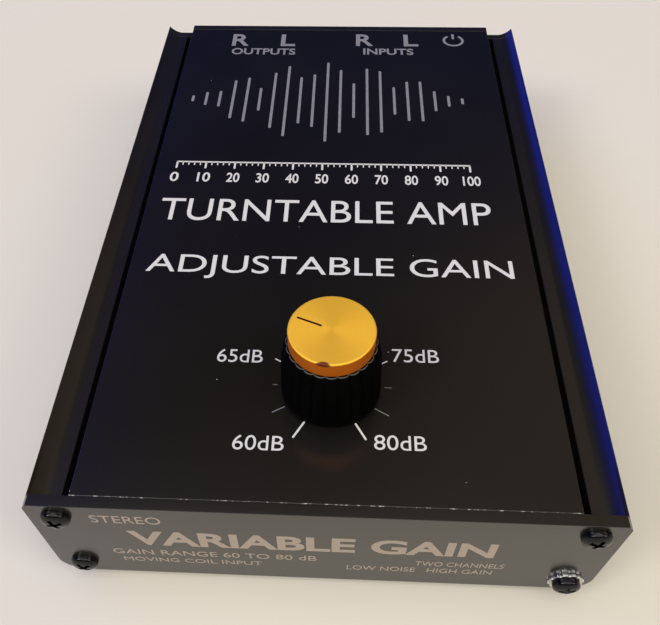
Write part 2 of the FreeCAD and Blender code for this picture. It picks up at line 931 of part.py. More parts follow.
def converter_pin_places():
    """The places of the module's pins, in a row near its front."""
    y = board_front_y + converter_from_front + converter_pin_inset
    pitch = converter_width / converter_pins
    first = converter_x - converter_width / 2 + pitch / 2
    return [(first + step * pitch, y) for step in range(converter_pins)]


def power_converter():
    """The potted module that makes the two supply rails."""
    x0 = converter_x - converter_width / 2
    y0 = board_front_y + converter_from_front
    high = board_top_z + converter_height
    module = block(x0, x0 + converter_width, y0, y0 + converter_depth, board_top_z, high)
    pins = []
    for x, y in converter_pin_places():
        pins.append(upright(lead_radius, x, y, board_bottom_z - lead_below, board_top_z))
    return module.fuse(pins)


def wire_ends():
    """For each wire: its node, where it starts behind the rear plate, and its pad on the board."""
    start_y = tail_end_y
    pad_y = board_rear_y - pad_from_rear
    inner_pad_y = pad_y - pad_spacing * 2
    lug_tab_z = socket_z + lug_reach - wire_tab_inset
    lug_y = body_rear_y - washer_thickness - lug_thickness
    ends = []
    for x in socket_xs:
        ends.append(("signal_wires", V(x, start_y, socket_z), V(x, pad_y, board_top_z)))
        ends.append(("return_wires", V(x, lug_y, lug_tab_z), V(x, inner_pad_y, board_top_z)))
    power_y = body_rear_y - power_body_length - power_lug_length
    for side in (-1, 1):
        x = power_x + side * power_lug_spacing / 2
        start = V(x, power_y, socket_z + power_lug_rise)
        ends.append(("power_wires", start, V(x, inner_pad_y, board_top_z)))
    ground_z = socket_z + lug_reach - ground_tab_inset
    ground_y = body_rear_y - lug_thickness
    ends.append(("ground_wire", V(post_x, ground_y, ground_z), V(post_x, pad_y - pad_spacing, board_top_z)))
    return ends


def wire_tube(start, end):
    """A wire that leaves its lug forwards, rises a little and goes down into the board."""
    crest = max(start.z + wire_rise, end.z + wire_hump)
    run = start.y - end.y
    points = [
        start,
        V(start.x, start.y - run * wire_level_share, start.z),
        V(start.x, start.y - run * wire_crest_share, crest),
        V(start.x, end.y, crest - wire_rise),
        end,
    ]
    tube, length, smallest = tube_along(points, wire_radius)
    expected = math.pi * wire_radius ** 2 * length
    print("wire", round(tube.Volume, 2), "expected", round(expected, 2), "least radius", round(smallest, 2))
    return tube


def wires():
    """All wires, grouped by the node that they belong to."""
    groups = {}
    for name, start, end in wire_ends():
        groups.setdefault(name, []).append(wire_tube(start, end))
    return groups


def circuit_board():
    """The board, drilled for the leads and terminals."""
    board = block(-board_half, board_half, board_front_y, board_rear_y, board_bottom_z, board_top_z)
    hole = lead_radius + lead_hole_clearance
    drills = []
    for x, y in can_places():
        drills += two_leads(x, y, can_lead_spacing, board_top_z)
    for x, y in film_places():
        drills += two_leads(x, y, film_lead_spacing, board_top_z)
    for x, y in resistor_places():
        drills += two_leads(x, y, resistor_span - 2 * lead_radius, board_top_z)
    holes = []
    for drill in drills:
        centre = drill.CenterOfMass
        holes.append(upright(hole, centre.x, centre.y, board_bottom_z, board_top_z))
    for x, y in chip_places():
        for leg_x, leg_y in chip_legs(x, y):
            holes.append(upright(hole, leg_x, leg_y, board_bottom_z, board_top_z))
    for x, y in converter_pin_places():
        holes.append(upright(hole, x, y, board_bottom_z, board_top_z))
    return board.cut(holes).cut(pot_terminals(lead_hole_clearance))


def rca_shells():
    """The metal shells: barrel, hexagonal flange and threaded neck."""
    shells = []
    for x in socket_xs:
        flange_end = socket_face_y + socket_flange
        shell = hexagon(flange_flats, x, socket_z, socket_face_y, flange_end)
        barrel = lying(barrel_radius, x, socket_z, flange_end, flange_end + barrel_length)
        neck = lying(socket_neck, x, socket_z, neck_end_y, socket_face_y)
        shell = shell.fuse([barrel, neck]).removeSplitter()
        shells.append(shell.cut(lying(barrel_bore, x, socket_z, neck_end_y, flange_end + barrel_length)))
    return shells


def rca_insulators():
    """The plastic cores between shell and contact."""
    cores = []
    end = socket_face_y + socket_flange + barrel_length - core_recess
    for x in socket_xs:
        core = lying(barrel_bore - fit_clearance, x, socket_z, neck_end_y, end)
        cores.append(core.cut(lying(contact_radius + fit_clearance, x, socket_z, neck_end_y, end)))
    return cores


def rca_centre_contacts():
    """The tubular centre contacts with their solder tails."""
    contacts = []
    end = socket_face_y + socket_flange + barrel_length - core_recess
    for x in socket_xs:
        tube = lying(contact_radius, x, socket_z, neck_end_y, end)
        tail = lying(tail_radius, x, socket_z, tail_end_y, neck_end_y)
        contact = tube.fuse(tail).removeSplitter()
        contacts.append(contact.cut(lying(contact_bore, x, socket_z, end - contact_bore_length, end)))
    return contacts


def rca_outer_washers():
    """The coloured insulating washers, with a sleeve that fills the plate's hole."""
    washers = []
    sleeve = socket_neck + washer_sleeve
    for x in socket_xs:
        ring = lying(washer_radius, x, socket_z, rear_y, socket_face_y)
        collar = lying(sleeve, x, socket_z, body_rear_y + 2 * face_gap, rear_y)
        ring = ring.fuse(collar).removeSplitter()
        washers.append(ring.cut(lying(socket_neck + fit_clearance, x, socket_z, body_rear_y, socket_face_y)))
    return washers


def socket_ring(radius, bore, x, front, rear):
    """A flat ring behind the rear plate."""
    return lying(radius, x, socket_z, front, rear).cut(lying(bore, x, socket_z, front, rear))


def rca_inner_washers():
    """The insulating washers inside the case."""
    inner = body_rear_y - washer_thickness
    bore = socket_neck + fit_clearance
    return [socket_ring(washer_radius, bore, x, inner, body_rear_y) for x in socket_xs]


def ring_lug(x, radius, bore, rear):
    """A solder lug: a ring with a tab that points up."""
    front = rear - lug_thickness
    tab = block(x - lug_width / 2, x + lug_width / 2, front, rear, socket_z, socket_z + lug_reach)
    lug = lying(radius, x, socket_z, front, rear).fuse(tab).removeSplitter()
    return lug.cut(lying(bore, x, socket_z, front, rear))


def rca_ring_lugs():
    """The return contacts of the four sockets."""
    rear = body_rear_y - washer_thickness
    return [ring_lug(x, lug_radius, socket_neck + fit_clearance, rear) for x in socket_xs]


def rca_nuts():
    """The nuts that clamp the sockets from inside."""
    rear = body_rear_y - washer_thickness - lug_thickness
    front = rear - socket_nut_thickness
    nuts = []
    for x in socket_xs:
        nut = hexagon(flange_flats, x, socket_z, front, rear)
        nuts.append(nut.cut(lying(socket_neck + fit_clearance, x, socket_z, front, rear)))
    return nuts


def power_socket():
    """The moulded body of the power socket with its neck and bore."""
    mouth = rear_y + power_neck_length
    back = body_rear_y - power_body_length
    side = power_body_side / 2
    body = block(power_x - side, power_x + side, back, body_rear_y, socket_z - side, socket_z + side)
    body = body.fuse(lying(power_neck_radius, power_x, socket_z, body_rear_y, mouth)).removeSplitter()
    body = body.cut(lying(power_bore, power_x, socket_z, mouth - power_bore_length, mouth))
    pin_hole = lying(power_pin_radius + fit_clearance, power_x, socket_z, back, mouth)
    return body.cut([pin_hole, power_spring(fit_clearance)])


def power_pin():
    """The centre pin."""
    tip = rear_y + power_neck_length - power_pin_below
    return lying(power_pin_radius, power_x, socket_z, body_rear_y - power_body_length, tip)


def power_spring(margin=0.0):
    """The sleeve contact, a strip in a slot under the bore; with a margin, its slot."""
    high = socket_z - power_bore + spring_bulge
    front = body_rear_y - power_body_length
    half = spring_width / 2 + margin
    rear = rear_y + margin / 2
    return block(power_x - half, power_x + half, front, rear, high - spring_thickness - margin, high + margin)


def power_lugs():
    """Two solder tags behind the power socket."""
    front = body_rear_y - power_body_length - power_lug_length
    rear = body_rear_y - power_body_length
    half = power_tag_width / 2
    thick = power_tag_thickness / 2
    tags = []
    for side in (-1, 1):
        x = power_x + side * power_lug_spacing / 2
        z = socket_z + power_lug_rise
        tags.append(block(x - half, x + half, front, rear, z - thick, z + thick))
    return tags


def power_nut():
    """The ring nut outside the rear plate."""
    outer = rear_y + power_nut_thickness
    nut = hexagon(power_nut_flats, power_x, socket_z, rear_y, outer)
    return nut.cut(lying(power_neck_radius + fit_clearance, power_x, socket_z, rear_y, outer))


def post_nut(front):
    """A hexagonal nut on the ground post."""
    rear = front + post_nut_thickness
    nut = hexagon(post_nut_flats, post_x, socket_z, front, rear)
    return nut.cut(lying(post_radius + fit_clearance, post_x, socket_z, front, rear))


def ground_post():
    """The threaded stud with a bevelled outer end."""
    shoulder = rear_y + post_outside - post_bevel
    stud = lying(post_radius, post_x, socket_z, body_rear_y - post_inside, shoulder)
    start = V(post_x, shoulder, socket_z)
    tip = Part.makeCone(post_radius, post_radius - post_bevel, post_bevel, start, V(0, 1, 0))
    return stud.fuse(tip).removeSplitter()


def clamp_washer():
    """The loose washer that clamps a ground wire."""
    front = rear_y + post_nut_thickness + face_gap
    rear = front + clamp_washer_thickness
    washer = lying(clamp_washer_radius, post_x, socket_z, front, rear)
    return washer.cut(lying(post_radius + shaft_clearance, post_x, socket_z, front, rear))


def thumb_nut():
    """The knurled nut with a plain shoulder next to the washer."""
    front = rear_y + post_nut_thickness + 2 * face_gap + clamp_washer_thickness
    rear = front + thumb_height
    shoulder_end = front + thumb_shoulder
    shoulder_radius = clamp_washer_radius - thumb_shoulder_inset
    nut = lying(thumb_radius, post_x, socket_z, shoulder_end, rear)
    nut = nut.fuse(lying(shoulder_radius, post_x, socket_z, front, shoulder_end)).removeSplitter()
    flute_x = post_x + thumb_radius + thumb_flute_offset
    flute = lying(thumb_flute_radius, flute_x, socket_z, shoulder_end, rear)
    centre = V(post_x, 0, socket_z)
    turns = range(thumb_flutes)
    nut = nut.cut([on_ring(flute, centre, 360 * turn / thumb_flutes, V(0, 1, 0)) for turn in turns])
    return nut.cut(lying(post_radius + shaft_clearance, post_x, socket_z, front, rear))


def main():
    """Builds every sub-part and writes one file for each."""
    os.makedirs("parts", exist_ok=True)
    front_screws, rear_screws = case_screws()
    pieces = {
        "case_body": [case_body()],
        "top_cover": [top_cover()],
        "front_plate": [front_plate()],
        "rear_plate": [rear_plate()],
        "front_plate_screws": front_screws,
        "front_lock_washer": [front_lock_washer()],
        "rear_plate_screws": rear_screws,
        "rubber_feet": rubber_feet(),
        "knob_body": [knob_body()],
        "knob_cap": [knob_cap()],
        "knob_bush": [knob_bush()],
        "knob_set_screw": [knob_set_screw()],
        "potentiometer_housing": [pot_housing()],
        "potentiometer_bushing": [pot_bushing()],
        "potentiometer_shaft": [pot_shaft()],
        "potentiometer_rotors": pot_rotors(),
        "potentiometer_wafers": pot_wafers(),
        "potentiometer_terminals": pot_terminals(),
        "potentiometer_lock_washer": [pot_washer()],
        "potentiometer_nut": [pot_nut()],
        "circuit_board": [circuit_board()],
        "chip_sockets": chip_sockets(),
        "amplifier_chips": amplifier_chips(),
        "electrolytic_capacitors": electrolytic_capacitors(),
        "film_capacitors": film_capacitors(),
        "resistors": resistors(),
        "power_converter": [power_converter()],
        "phono_socket_shells": rca_shells(),
        "phono_socket_insulators": rca_insulators(),
        "phono_socket_contacts": rca_centre_contacts(),
        "phono_socket_outer_washers": rca_outer_washers(),
        "phono_socket_inner_washers": rca_inner_washers(),
        "phono_socket_lugs": rca_ring_lugs(),
        "phono_socket_nuts": rca_nuts(),
        "power_socket": [power_socket()],
        "power_socket_pin": [power_pin()],
        "power_socket_spring": [power_spring()],
        "power_socket_lugs": power_lugs(),
        "power_socket_nut": [power_nut()],
        "ground_post": [ground_post()],
        "ground_post_outer_nut": [post_nut(rear_y)],
        "ground_post_lug": [ring_lug(post_x, post_nut_flats / 2, post_radius + fit_clearance, body_rear_y)],
        "ground_post_inner_nut": [post_nut(body_rear_y - lug_thickness - post_nut_thickness)],
        "ground_clamp_washer": [clamp_washer()],
        "ground_thumb_nut": [thumb_nut()],
    }
    pieces.update(wires())
    for name, solids in pieces.items():
        save(name, solids)
        print(name, len(solids))


main()
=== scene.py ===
"""Dresses the packed phono preamp: case, knob, legends, sockets, inside and stage."""

import math

import bmesh
import bpy
from bpy.props import FloatProperty, FloatVectorProperty, IntProperty, PointerProperty, StringProperty
from mathutils import Matrix, Vector


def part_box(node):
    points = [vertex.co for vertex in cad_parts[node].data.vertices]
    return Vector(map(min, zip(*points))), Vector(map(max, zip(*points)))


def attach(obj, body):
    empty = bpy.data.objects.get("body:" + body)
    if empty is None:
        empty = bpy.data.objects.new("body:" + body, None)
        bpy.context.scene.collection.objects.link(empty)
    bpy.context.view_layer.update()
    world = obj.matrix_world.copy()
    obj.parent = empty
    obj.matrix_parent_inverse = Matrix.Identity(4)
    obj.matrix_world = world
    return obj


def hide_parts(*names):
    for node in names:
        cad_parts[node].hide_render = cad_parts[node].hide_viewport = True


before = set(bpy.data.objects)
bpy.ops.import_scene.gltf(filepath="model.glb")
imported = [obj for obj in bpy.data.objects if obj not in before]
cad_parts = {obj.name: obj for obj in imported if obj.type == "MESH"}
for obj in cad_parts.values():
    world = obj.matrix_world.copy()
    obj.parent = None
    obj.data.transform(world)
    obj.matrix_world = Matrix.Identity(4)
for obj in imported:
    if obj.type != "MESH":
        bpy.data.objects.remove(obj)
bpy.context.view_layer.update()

bl_info = {
    "name": "Phono preamp",
    "version": (1, 0, 0),
    "blender": (4, 5, 0),
    "location": "View3D > Sidebar > Preamp",
    "description": "Builds the pieces and finishes of a small desktop phono preamp",
    "category": "Object",
}

mm = 0.001
merge_distance = 0.0005 * mm

plate_low, plate_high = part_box("front_plate")
rear_low, rear_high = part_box("rear_plate")
case_low, case_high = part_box("case_body")
cover_low, cover_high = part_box("top_cover")
cap_low, cap_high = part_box("knob_cap")
knob_low, knob_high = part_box("knob_body")
post_low, post_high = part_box("ground_post")
knob_centre = (cap_low + cap_high) / 2
top_z = cover_high.z
base_z = case_low.z
half_width = case_high.x
socket_z = (post_low.z + post_high.z) / 2


def srgb(code):
    """Turns an sRGB hex colour into the linear colour that a shader takes."""
    channels = [int(code[start:start + 2], 16) / 255 for start in (1, 3, 5)]
    return [c / 12.92 if c <= 0.04045 else ((c + 0.055) / 1.055) ** 2.4 for c in channels] + [1.0]


def size(name, description, millimetres):
    """A length that a user may change."""
    return FloatProperty(name=name, description=description, default=millimetres * mm, min=0.0,
                         subtype="DISTANCE", unit="LENGTH", precision=5)


def colour(name, description, code):
    """A colour that a user may change."""
    return FloatVectorProperty(name=name, description=description, default=srgb(code), size=4,
                               subtype="COLOR", min=0.0, max=1.0)


class CaseLook(bpy.types.PropertyGroup):
    """Sizes and colours of the case."""

    dye: colour("Case dye", "Dye colour of the anodised extrusion", "#110f0d")
    cover_dye: colour("Cover dye", "Dye colour of the anodised cover", "#0d0b09")
    plate_dye: colour("Plate dye", "Dye colour of the smoother end plates", "#14110f")
    edge: size("Edge radius", "Radius that tumbling left on the cut edges", 0.14)
    plate_edge: size("Plate edge radius", "Radius on the edges of the end plates", 0.06)
    corner: size("Corner radius", "Radius of the two lower corners", 5.4)
    wall: size("Wall", "Thickness of the side walls and the floor", 1.8)
    groove_width: size("Groove width", "Width of the dark groove beside the cover", 2.1)
    groove_depth: size("Groove depth", "How far the groove lies below the cover", 5.4)
    strip_width: size("Strip width", "Width of the flat strip outside the groove", 2.3)
    strip_drop: size("Strip drop", "How far the strip lies below the cover", 2.4)
    flank_width: size("Flank width", "Width of the hollow slope up to the ridge", 3.4)
    flank_sag: size("Flank sag", "How far the slope is hollow", 0.4)
    ridge_width: size("Ridge width", "Width of the ridge outside the slope", 0.45)
    ridge_drop: size("Ridge drop", "How far the ridge lies below the cover", 0.3)
    bevel_width: size("Top bevel width", "Width of the bevel on the front plate's top corners", 0.85)
    bevel_drop: size("Top bevel drop", "Height of the bevel on the top corners", 1.2)


class ScrewLook(bpy.types.PropertyGroup):
    """Sizes and colours of the case screws."""

    finish: colour("Screw finish", "Colour of the black zinc", "#050507")
    head: size("Head radius", "Radius of the pan head", 2.7)
    height: size("Head height", "Height of the head with its crown", 1.95)
    crown: size("Crown", "Height of the domed part of the head", 1.1)
    slot: size("Cross width", "Width of one arm of the cross recess", 0.8)
    span: size("Cross span", "Length across the cross recess", 3.2)
    depth: size("Cross depth", "Depth of the cross recess", 1.0)


class KnobLook(bpy.types.PropertyGroup):
    """Sizes and colours of the gain knob."""

    gold: colour("Gold", "Colour of the spun cap", "#ffc83a")
    # Painted shade: this side colour stands in for the darker look of the cap's side.
    shaded_side_gold: colour("Shaded side gold", "Painted shade on the cap's side, darker and more orange than the top", "#cf6c00")
    moulding: colour("Moulding", "Colour of the moulded body", "#010101")
    ribs: IntProperty(name="Ribs", description="Count of the ribs round the body", default=24, min=6)
    rib_depth: size("Rib depth", "Depth of the valleys between the ribs", 0.5)
    rim: size("Rim", "Height of the plain rim at the foot", 1.0)
    belly: size("Belly radius", "Radius where the body starts to draw in", 9.5)
    belly_height: size("Belly height", "Height of that place above the foot", 10.0)
    shoulder: size("Shoulder radius", "Radius of the body under the cap", 8.65)
    cap_edge: size("Cap edge radius", "Rounding of the cap's upper edge", 0.35)
    pointer_width: size("Pointer width", "Width of the engraved pointer line", 0.42)
    pointer_inner: size("Pointer start", "Distance from the centre to the pointer's near end", 2.0)
    pointer_outer: size("Pointer end", "Distance from the centre to the pointer's far end", 6.9)
    pointer_turn: FloatProperty(name="Pointer angle", description="Angle of the pointer from +X",
                                default=math.radians(158), subtype="ANGLE", unit="ROTATION")


class LegendLook(bpy.types.PropertyGroup):
    """Words and colours of the print."""

    ink: colour("Ink", "Colour of the screen print", "#d9d8d4")
    faint_ink: colour("Thin ink", "Colour of the thinly printed lines", "#8b8a90")
    etch: colour("Laser mark", "Colour of the laser-marked legends on the front", "#b3a496")
    rise: size("Print height", "How far the ink stands above the metal", 0.03)
    kind_line: StringProperty(name="Upper line", description="Upper line on the cover",
                              default="TURNTABLE AMP")
    gain_line: StringProperty(name="Lower line", description="Lower line on the cover",
                              default="ADJUSTABLE GAIN")


class StageLook(bpy.types.PropertyGroup):
    """The floor, the light and the camera."""

    floor: colour("Floor", "Colour of the table top", "#dcd7cb")
    floor_radius: FloatProperty(name="Floor radius", description="Radius of the floor", default=6.0,
                                subtype="DISTANCE", unit="LENGTH")
    light: FloatProperty(name="Light", description="Scale of all the lamps", default=1.0, min=0.0)
    focal: FloatProperty(name="Focal length", description="Focal length of the camera in millimetres",
                         default=39.476, min=1.0)


def feed(tree, target, inputs):
    """Sets a node's inputs, by value or by a link from another node's output."""
    for name, value in inputs.items():
        if isinstance(value, bpy.types.NodeSocket):
            tree.links.new(value, target.inputs[name])
        else:
            target.inputs[name].default_value = value


def add_node(tree, kind, inputs, **settings):
    """Adds a node with its settings and links."""
    made = tree.nodes.new(kind)
    for name, value in settings.items():
        setattr(made, name, value)
    feed(tree, made, inputs)
    return made


def start_material(name):
    """A node material, its shader and the object coordinates of what wears it."""
    made = bpy.data.materials.new(name)
    made.use_nodes = True
    tree = made.node_tree
    place = add_node(tree, "ShaderNodeTexCoord", {}).outputs["Object"]
    return made, tree, tree.nodes["Principled BSDF"], place


def noise(tree, place, width, detail, roughness=0.5):
    """A cloudy pattern with blotches of about the given width."""
    return add_node(tree, "ShaderNodeTexNoise", {"Vector": place, "Scale": 1 / width, "Detail": detail,
                                                 "Roughness": roughness}).outputs["Fac"]


def spread(tree, value, low, high, start=0.0, end=1.0, kind="LINEAR"):
    """Maps the range from start to end onto low to high."""
    return add_node(tree, "ShaderNodeMapRange", {"Value": value, "From Min": start, "From Max": end,
                                                 "To Min": low, "To Max": high},
                    interpolation_type=kind).outputs[0]


def blend(tree, share, first, second):
    """Mixes two colours by a share."""
    return add_node(tree, "ShaderNodeMix", {0: share, 6: first, 7: second}, data_type="RGBA").outputs[2]


def combine(tree, operation, first, second):
    """One value worked out from two."""
    return add_node(tree, "ShaderNodeMath", {0: first, 1: second}, operation=operation).outputs[0]


def bump(tree, height, strength, depth=0.02 * mm):
    """A shallow relief."""
    return add_node(tree, "ShaderNodeBump", {"Height": height, "Strength": strength,
                                             "Distance": depth}).outputs[0]


def axis_of(tree, vector, axis):
    """One part of a vector."""
    return add_node(tree, "ShaderNodeSeparateXYZ", {"Vector": vector}).outputs[axis]


def upward(tree):
    """How far a face looks up."""
    return axis_of(tree, add_node(tree, "ShaderNodeNewGeometry", {}).outputs["Normal"], "Z")


def anodised(name, dye, roughness, drawn, specks):
    """Black anodised aluminium: a clear, hard oxide over dye, so it is deep black with a satin shine.

    Fine lines left by drawing run along the length, and white dust lies on the upper faces.
    """
    made, tree, shader, place = start_material(name)
    grain_pitch = 0.35 * mm
    cloud_width = 30 * mm
    dust_spacing = 7 * mm
    along = add_node(tree, "ShaderNodeMapping", {"Vector": place, "Scale": (1, drawn, 1)}).outputs[0]
    grain = noise(tree, along, grain_pitch, 3.0)
    lighter = [min(1.0, channel * 1.7 + 0.002) for channel in dye[:3]] + [1.0]
    tone = blend(tree, noise(tree, place, cloud_width, 2.0), dye, lighter)
    dust = add_node(tree, "ShaderNodeTexVoronoi", {"Vector": place, "Scale": 1 / dust_spacing}).outputs
    spot = spread(tree, dust["Distance"], specks, 0.0, 0.012, 0.022)
    kept = combine(tree, "GREATER_THAN", axis_of(tree, dust["Color"], "X"), 0.62)
    held = combine(tree, "MULTIPLY", kept, combine(tree, "GREATER_THAN", upward(tree), 0.7))
    dusted = blend(tree, combine(tree, "MULTIPLY", spot, held), tone, srgb("#b9b4aa"))
    feed(tree, shader, {"Base Color": dusted, "IOR": 1.62, "Normal": bump(tree, grain, 0.015),
                        "Roughness": spread(tree, grain, roughness - 0.01, roughness + 0.01)})
    return made


def painted_glint_edge(dye):
    """Anodised edge of the cover, black, with bright specks painted along its front end as highlights."""
    made, tree, shader, place = start_material("Black anodised edge with painted glints")
    glint_size = 0.9 * mm
    # Painted highlight: bright specks along the cover's front edge stand in for glints of light.
    painted_glint = spread(tree, noise(tree, place, glint_size, 4.0, 0.7), 0.0, 1.0, 0.55, 0.62)
    front = combine(tree, "LESS_THAN", axis_of(tree, place, "Y"), cover_low.y + 1 * mm)
    tone = blend(tree, combine(tree, "MULTIPLY", painted_glint, front), dye, srgb("#c4beb4"))
    feed(tree, shader, {"Base Color": tone, "Roughness": 0.38, "IOR": 1.62})
    return made


def plated_metal(name, code, roughness, grain):
    """Plated or turned metal: a tinted mirror broken by fine tool marks, which spread its highlights."""
    made, tree, shader, place = start_material(name)
    stain_width = 4 * mm
    stain = noise(tree, place, stain_width, 2.0)
    full = srgb(code)
    duller = [channel * 0.72 for channel in full[:3]] + [1.0]
    feed(tree, shader, {"Base Color": blend(tree, stain, full, duller), "Metallic": 1.0,
                        "Normal": bump(tree, noise(tree, place, grain, 3.0), 0.1),
                        "Roughness": spread(tree, stain, roughness * 0.7, roughness * 1.3)})
    return made


def moulded(name, tint, roughness, grain, shine=0.5):
    """Moulded plastic: an even colour under a thin skin, with a slight orange-peel ripple."""
    made, tree, shader, place = start_material(name)
    ripple = noise(tree, place, grain, 2.0)
    paler = [min(1.0, channel * 1.25 + 0.002) for channel in tint[:3]] + [1.0]
    feed(tree, shader, {"Base Color": blend(tree, ripple, tint, paler), "Specular IOR Level": shine,
                        "Normal": bump(tree, ripple, 0.12),
                        "Roughness": spread(tree, ripple, roughness * 0.85, roughness * 1.15)})
    return made


def black_zinc(tint):
    """Black zinc plating on steel: a thin, glossy black skin with sharp, broken highlights."""
    made, tree, shader, place = start_material("Black zinc-plated steel")
    pit_width = 0.5 * mm
    pits = noise(tree, place, pit_width, 4.0)
    feed(tree, shader, {"Base Color": blend(tree, pits, tint, srgb("#0c0c10")), "Specular IOR Level": 0.3,
                        "Roughness": spread(tree, pits, 0.08, 0.16),
                        "Normal": bump(tree, pits, 0.2, 0.03 * mm)})
    return made


def spun_gold(tint, shaded_side_tint):
    """Gold-anodised spun aluminium: rings from the lathe stretch its highlights into a cone of light.

    The side is painted darker and more orange than the face as shade, and a small dark brown spot on the
    front edge is a painted reflection.
    """
    made, tree, shader, place = start_material("Spun gold-anodised aluminium")

    def vector(operation, first, second=(0, 0, 0)):
        """A vector, or its length, worked out from two."""
        return add_node(tree, "ShaderNodeVectorMath", {0: first, 1: second}, operation=operation).outputs

    ring_pitch = 0.22 * mm
    arm = vector("SUBTRACT", place, (knob_centre.x, knob_centre.y, 0))[0]
    flat = vector("MULTIPLY", arm, (1, 1, 0))[0]
    step = combine(tree, "MULTIPLY", vector("LENGTH", flat)["Value"], 1 / ring_pitch)
    rings = add_node(tree, "ShaderNodeTexNoise", {"W": step, "Scale": 1.0, "Detail": 2.0},
                     noise_dimensions="1D").outputs["Fac"]
    deeper = [tint[0] * 0.9, tint[1] * 0.84, tint[2] * 0.75, 1.0]
    # Painted shade: faces that look sideways take the darker, more orange side colour.
    topside = spread(tree, upward(tree), 0.0, 1.0, 0.1, 0.6)
    dyed = blend(tree, topside, shaded_side_tint, blend(tree, rings, tint, deeper))
    # Painted reflection: a small dark brown spot at the front edge of the top stands in for a dark
    # reflection.
    dark_spot_place = (knob_centre.x - 1.4 * mm, cap_low.y + 0.2 * mm, cap_high.z - 0.25 * mm)
    dark_spot_reach = (1 / (1.4 * mm), 1 / (0.75 * mm), 1 / (0.42 * mm))
    scaled = vector("MULTIPLY", vector("SUBTRACT", place, dark_spot_place)[0], dark_spot_reach)[0]
    painted_light_mark = spread(tree, vector("LENGTH", scaled)["Value"], 1.0, 0.0, 0.8, 1.1)
    feed(tree, shader, {"Base Color": blend(tree, painted_light_mark, dyed, srgb("#6a2c06")), "Metallic": 0.5,
                        "Roughness": 0.55, "Anisotropic": 0.4, "Normal": bump(tree, rings, 0.08),
                        "Tangent": vector("CROSS_PRODUCT", (0, 0, 1), flat)[0]})
    return made


def ink(name, tint, thinness):
    """Screen-printed ink: a dry, matt film, a little thinner in places."""
    made, tree, shader, place = start_material(name)
    patch_width = 0.8 * mm
    film = noise(tree, place, patch_width, 3.0)
    thin = [channel * (1 - thinness) for channel in tint[:3]] + [1.0]
    feed(tree, shader, {"Base Color": blend(tree, film, tint, thin), "Roughness": 0.55,
                        "Normal": bump(tree, film, 0.1)})
    return made


def foot_rubber():
    """Moulded rubber: a dull black with a fine pebble that takes dust."""
    made, tree, shader, place = start_material("Moulded black rubber")
    pebble_width = 0.5 * mm
    pebble = add_node(tree, "ShaderNodeTexVoronoi", {"Vector": place, "Scale": 1 / pebble_width})
    height = pebble.outputs["Distance"]
    feed(tree, shader, {"Base Color": blend(tree, height, srgb("#0c0c0c"), srgb("#1f1e1d")),
                        "Roughness": 0.8, "Normal": bump(tree, height, 0.35, 0.05 * mm)})
    return made


def board_laminate():
    """Glass-epoxy board under green solder mask: the woven glass shows as a faint check."""
    made, tree, shader, place = start_material("Green glass-epoxy board")
    weave_pitch = 0.8 * mm
    track_pitch = 2.54 * mm
    turns = math.tau / weave_pitch
    grid = add_node(tree, "ShaderNodeVectorMath", {0: place, 1: (turns, turns, 0)}, operation="MULTIPLY")
    wave = add_node(tree, "ShaderNodeVectorMath", {0: grid.outputs[0]}, operation="SINE").outputs[0]
    check = combine(tree, "MULTIPLY", axis_of(tree, wave, "X"), axis_of(tree, wave, "Y"))
    tone = blend(tree, spread(tree, check, 0.0, 1.0, -1.0, 1.0), srgb("#0f4a2c"), srgb("#165c38"))
    cells = add_node(tree, "ShaderNodeTexBrick", {"Vector": place, "Scale": 1 / (8 * track_pitch),
                                                  "Color1": srgb("#000000"), "Color2": srgb("#000000"),
                                                  "Mortar": srgb("#ffffff"), "Mortar Size": 0.012})
    tracks = blend(tree, cells.outputs["Color"], tone, srgb("#3f7f4a"))
    feed(tree, shader, {"Base Color": tracks, "Roughness": 0.35})
    return made


def banded_lacquer():
    """Lacquered resistor: a pale blue coat with colour bands across it."""
    made, tree, shader, place = start_material("Banded resistor lacquer")
    band_pitch = 1.3 * mm
    bands = add_node(tree, "ShaderNodeTexWave", {"Vector": place, "Scale": 0.314 / band_pitch},
                     bands_direction="X").outputs["Fac"]
    tone = blend(tree, spread(tree, bands, 0.0, 1.0, 0.72, 0.8), srgb("#7fb2c4"), srgb("#7a2c14"))
    feed(tree, shader, {"Base Color": tone, "Roughness": 0.3})
    return made


def table_top(tint):
    """Pale painted table top: matt, with a broad, faint unevenness of tone."""
    made, tree, shader, place = start_material("Pale painted table top")
    warmer = [tint[0] * 0.985, tint[1] * 0.965, tint[2] * 0.92, 1.0]
    patch_width = 1 / 7
    feed(tree, shader, {"Base Color": blend(tree, noise(tree, place, patch_width, 2.0), tint, warmer),
                        "Roughness": 0.75})
    return made


def arc(x, y, radius, start, end, steps):
    """Points along a circular arc, with its angles in degrees."""
    angles = [math.radians(start + (end - start) * step / steps) for step in range(steps + 1)]
    return [(x + radius * math.cos(angle), y + radius * math.sin(angle)) for angle in angles]


def turned(profile, segments, closed=False):
    """Spins an outline of (radius, height) points round Z."""
    mesh = bmesh.new()
    points = [mesh.verts.new((radius, 0, height)) for radius, height in profile]
    ends = points[1:] + points[:1] if closed else points[1:]
    edges = [mesh.edges.new(pair) for pair in zip(points, ends)]
    bmesh.ops.spin(mesh, geom=points + edges, cent=(0, 0, 0), axis=(0, 0, 1), dvec=(0, 0, 0),
                   angle=math.tau, steps=segments, use_merge=True)
    bmesh.ops.remove_doubles(mesh, verts=mesh.verts, dist=merge_distance)
    bmesh.ops.recalc_face_normals(mesh, faces=mesh.faces)
    return mesh


def pushed(mesh, faces, offset):
    """Extrudes faces by an offset and gives back the new vertices."""
    made = bmesh.ops.extrude_face_region(mesh, geom=faces)["geom"]
    corners = [part for part in made if isinstance(part, bmesh.types.BMVert)]
    bmesh.ops.translate(mesh, vec=offset, verts=corners)
    return corners


def sunk(mesh, faces, offset):
    """Sinks faces by an offset, with walls round them, and gives back the new vertices."""
    corners = pushed(mesh, faces, offset)
    bmesh.ops.delete(mesh, geom=faces, context="FACES_ONLY")
    return corners


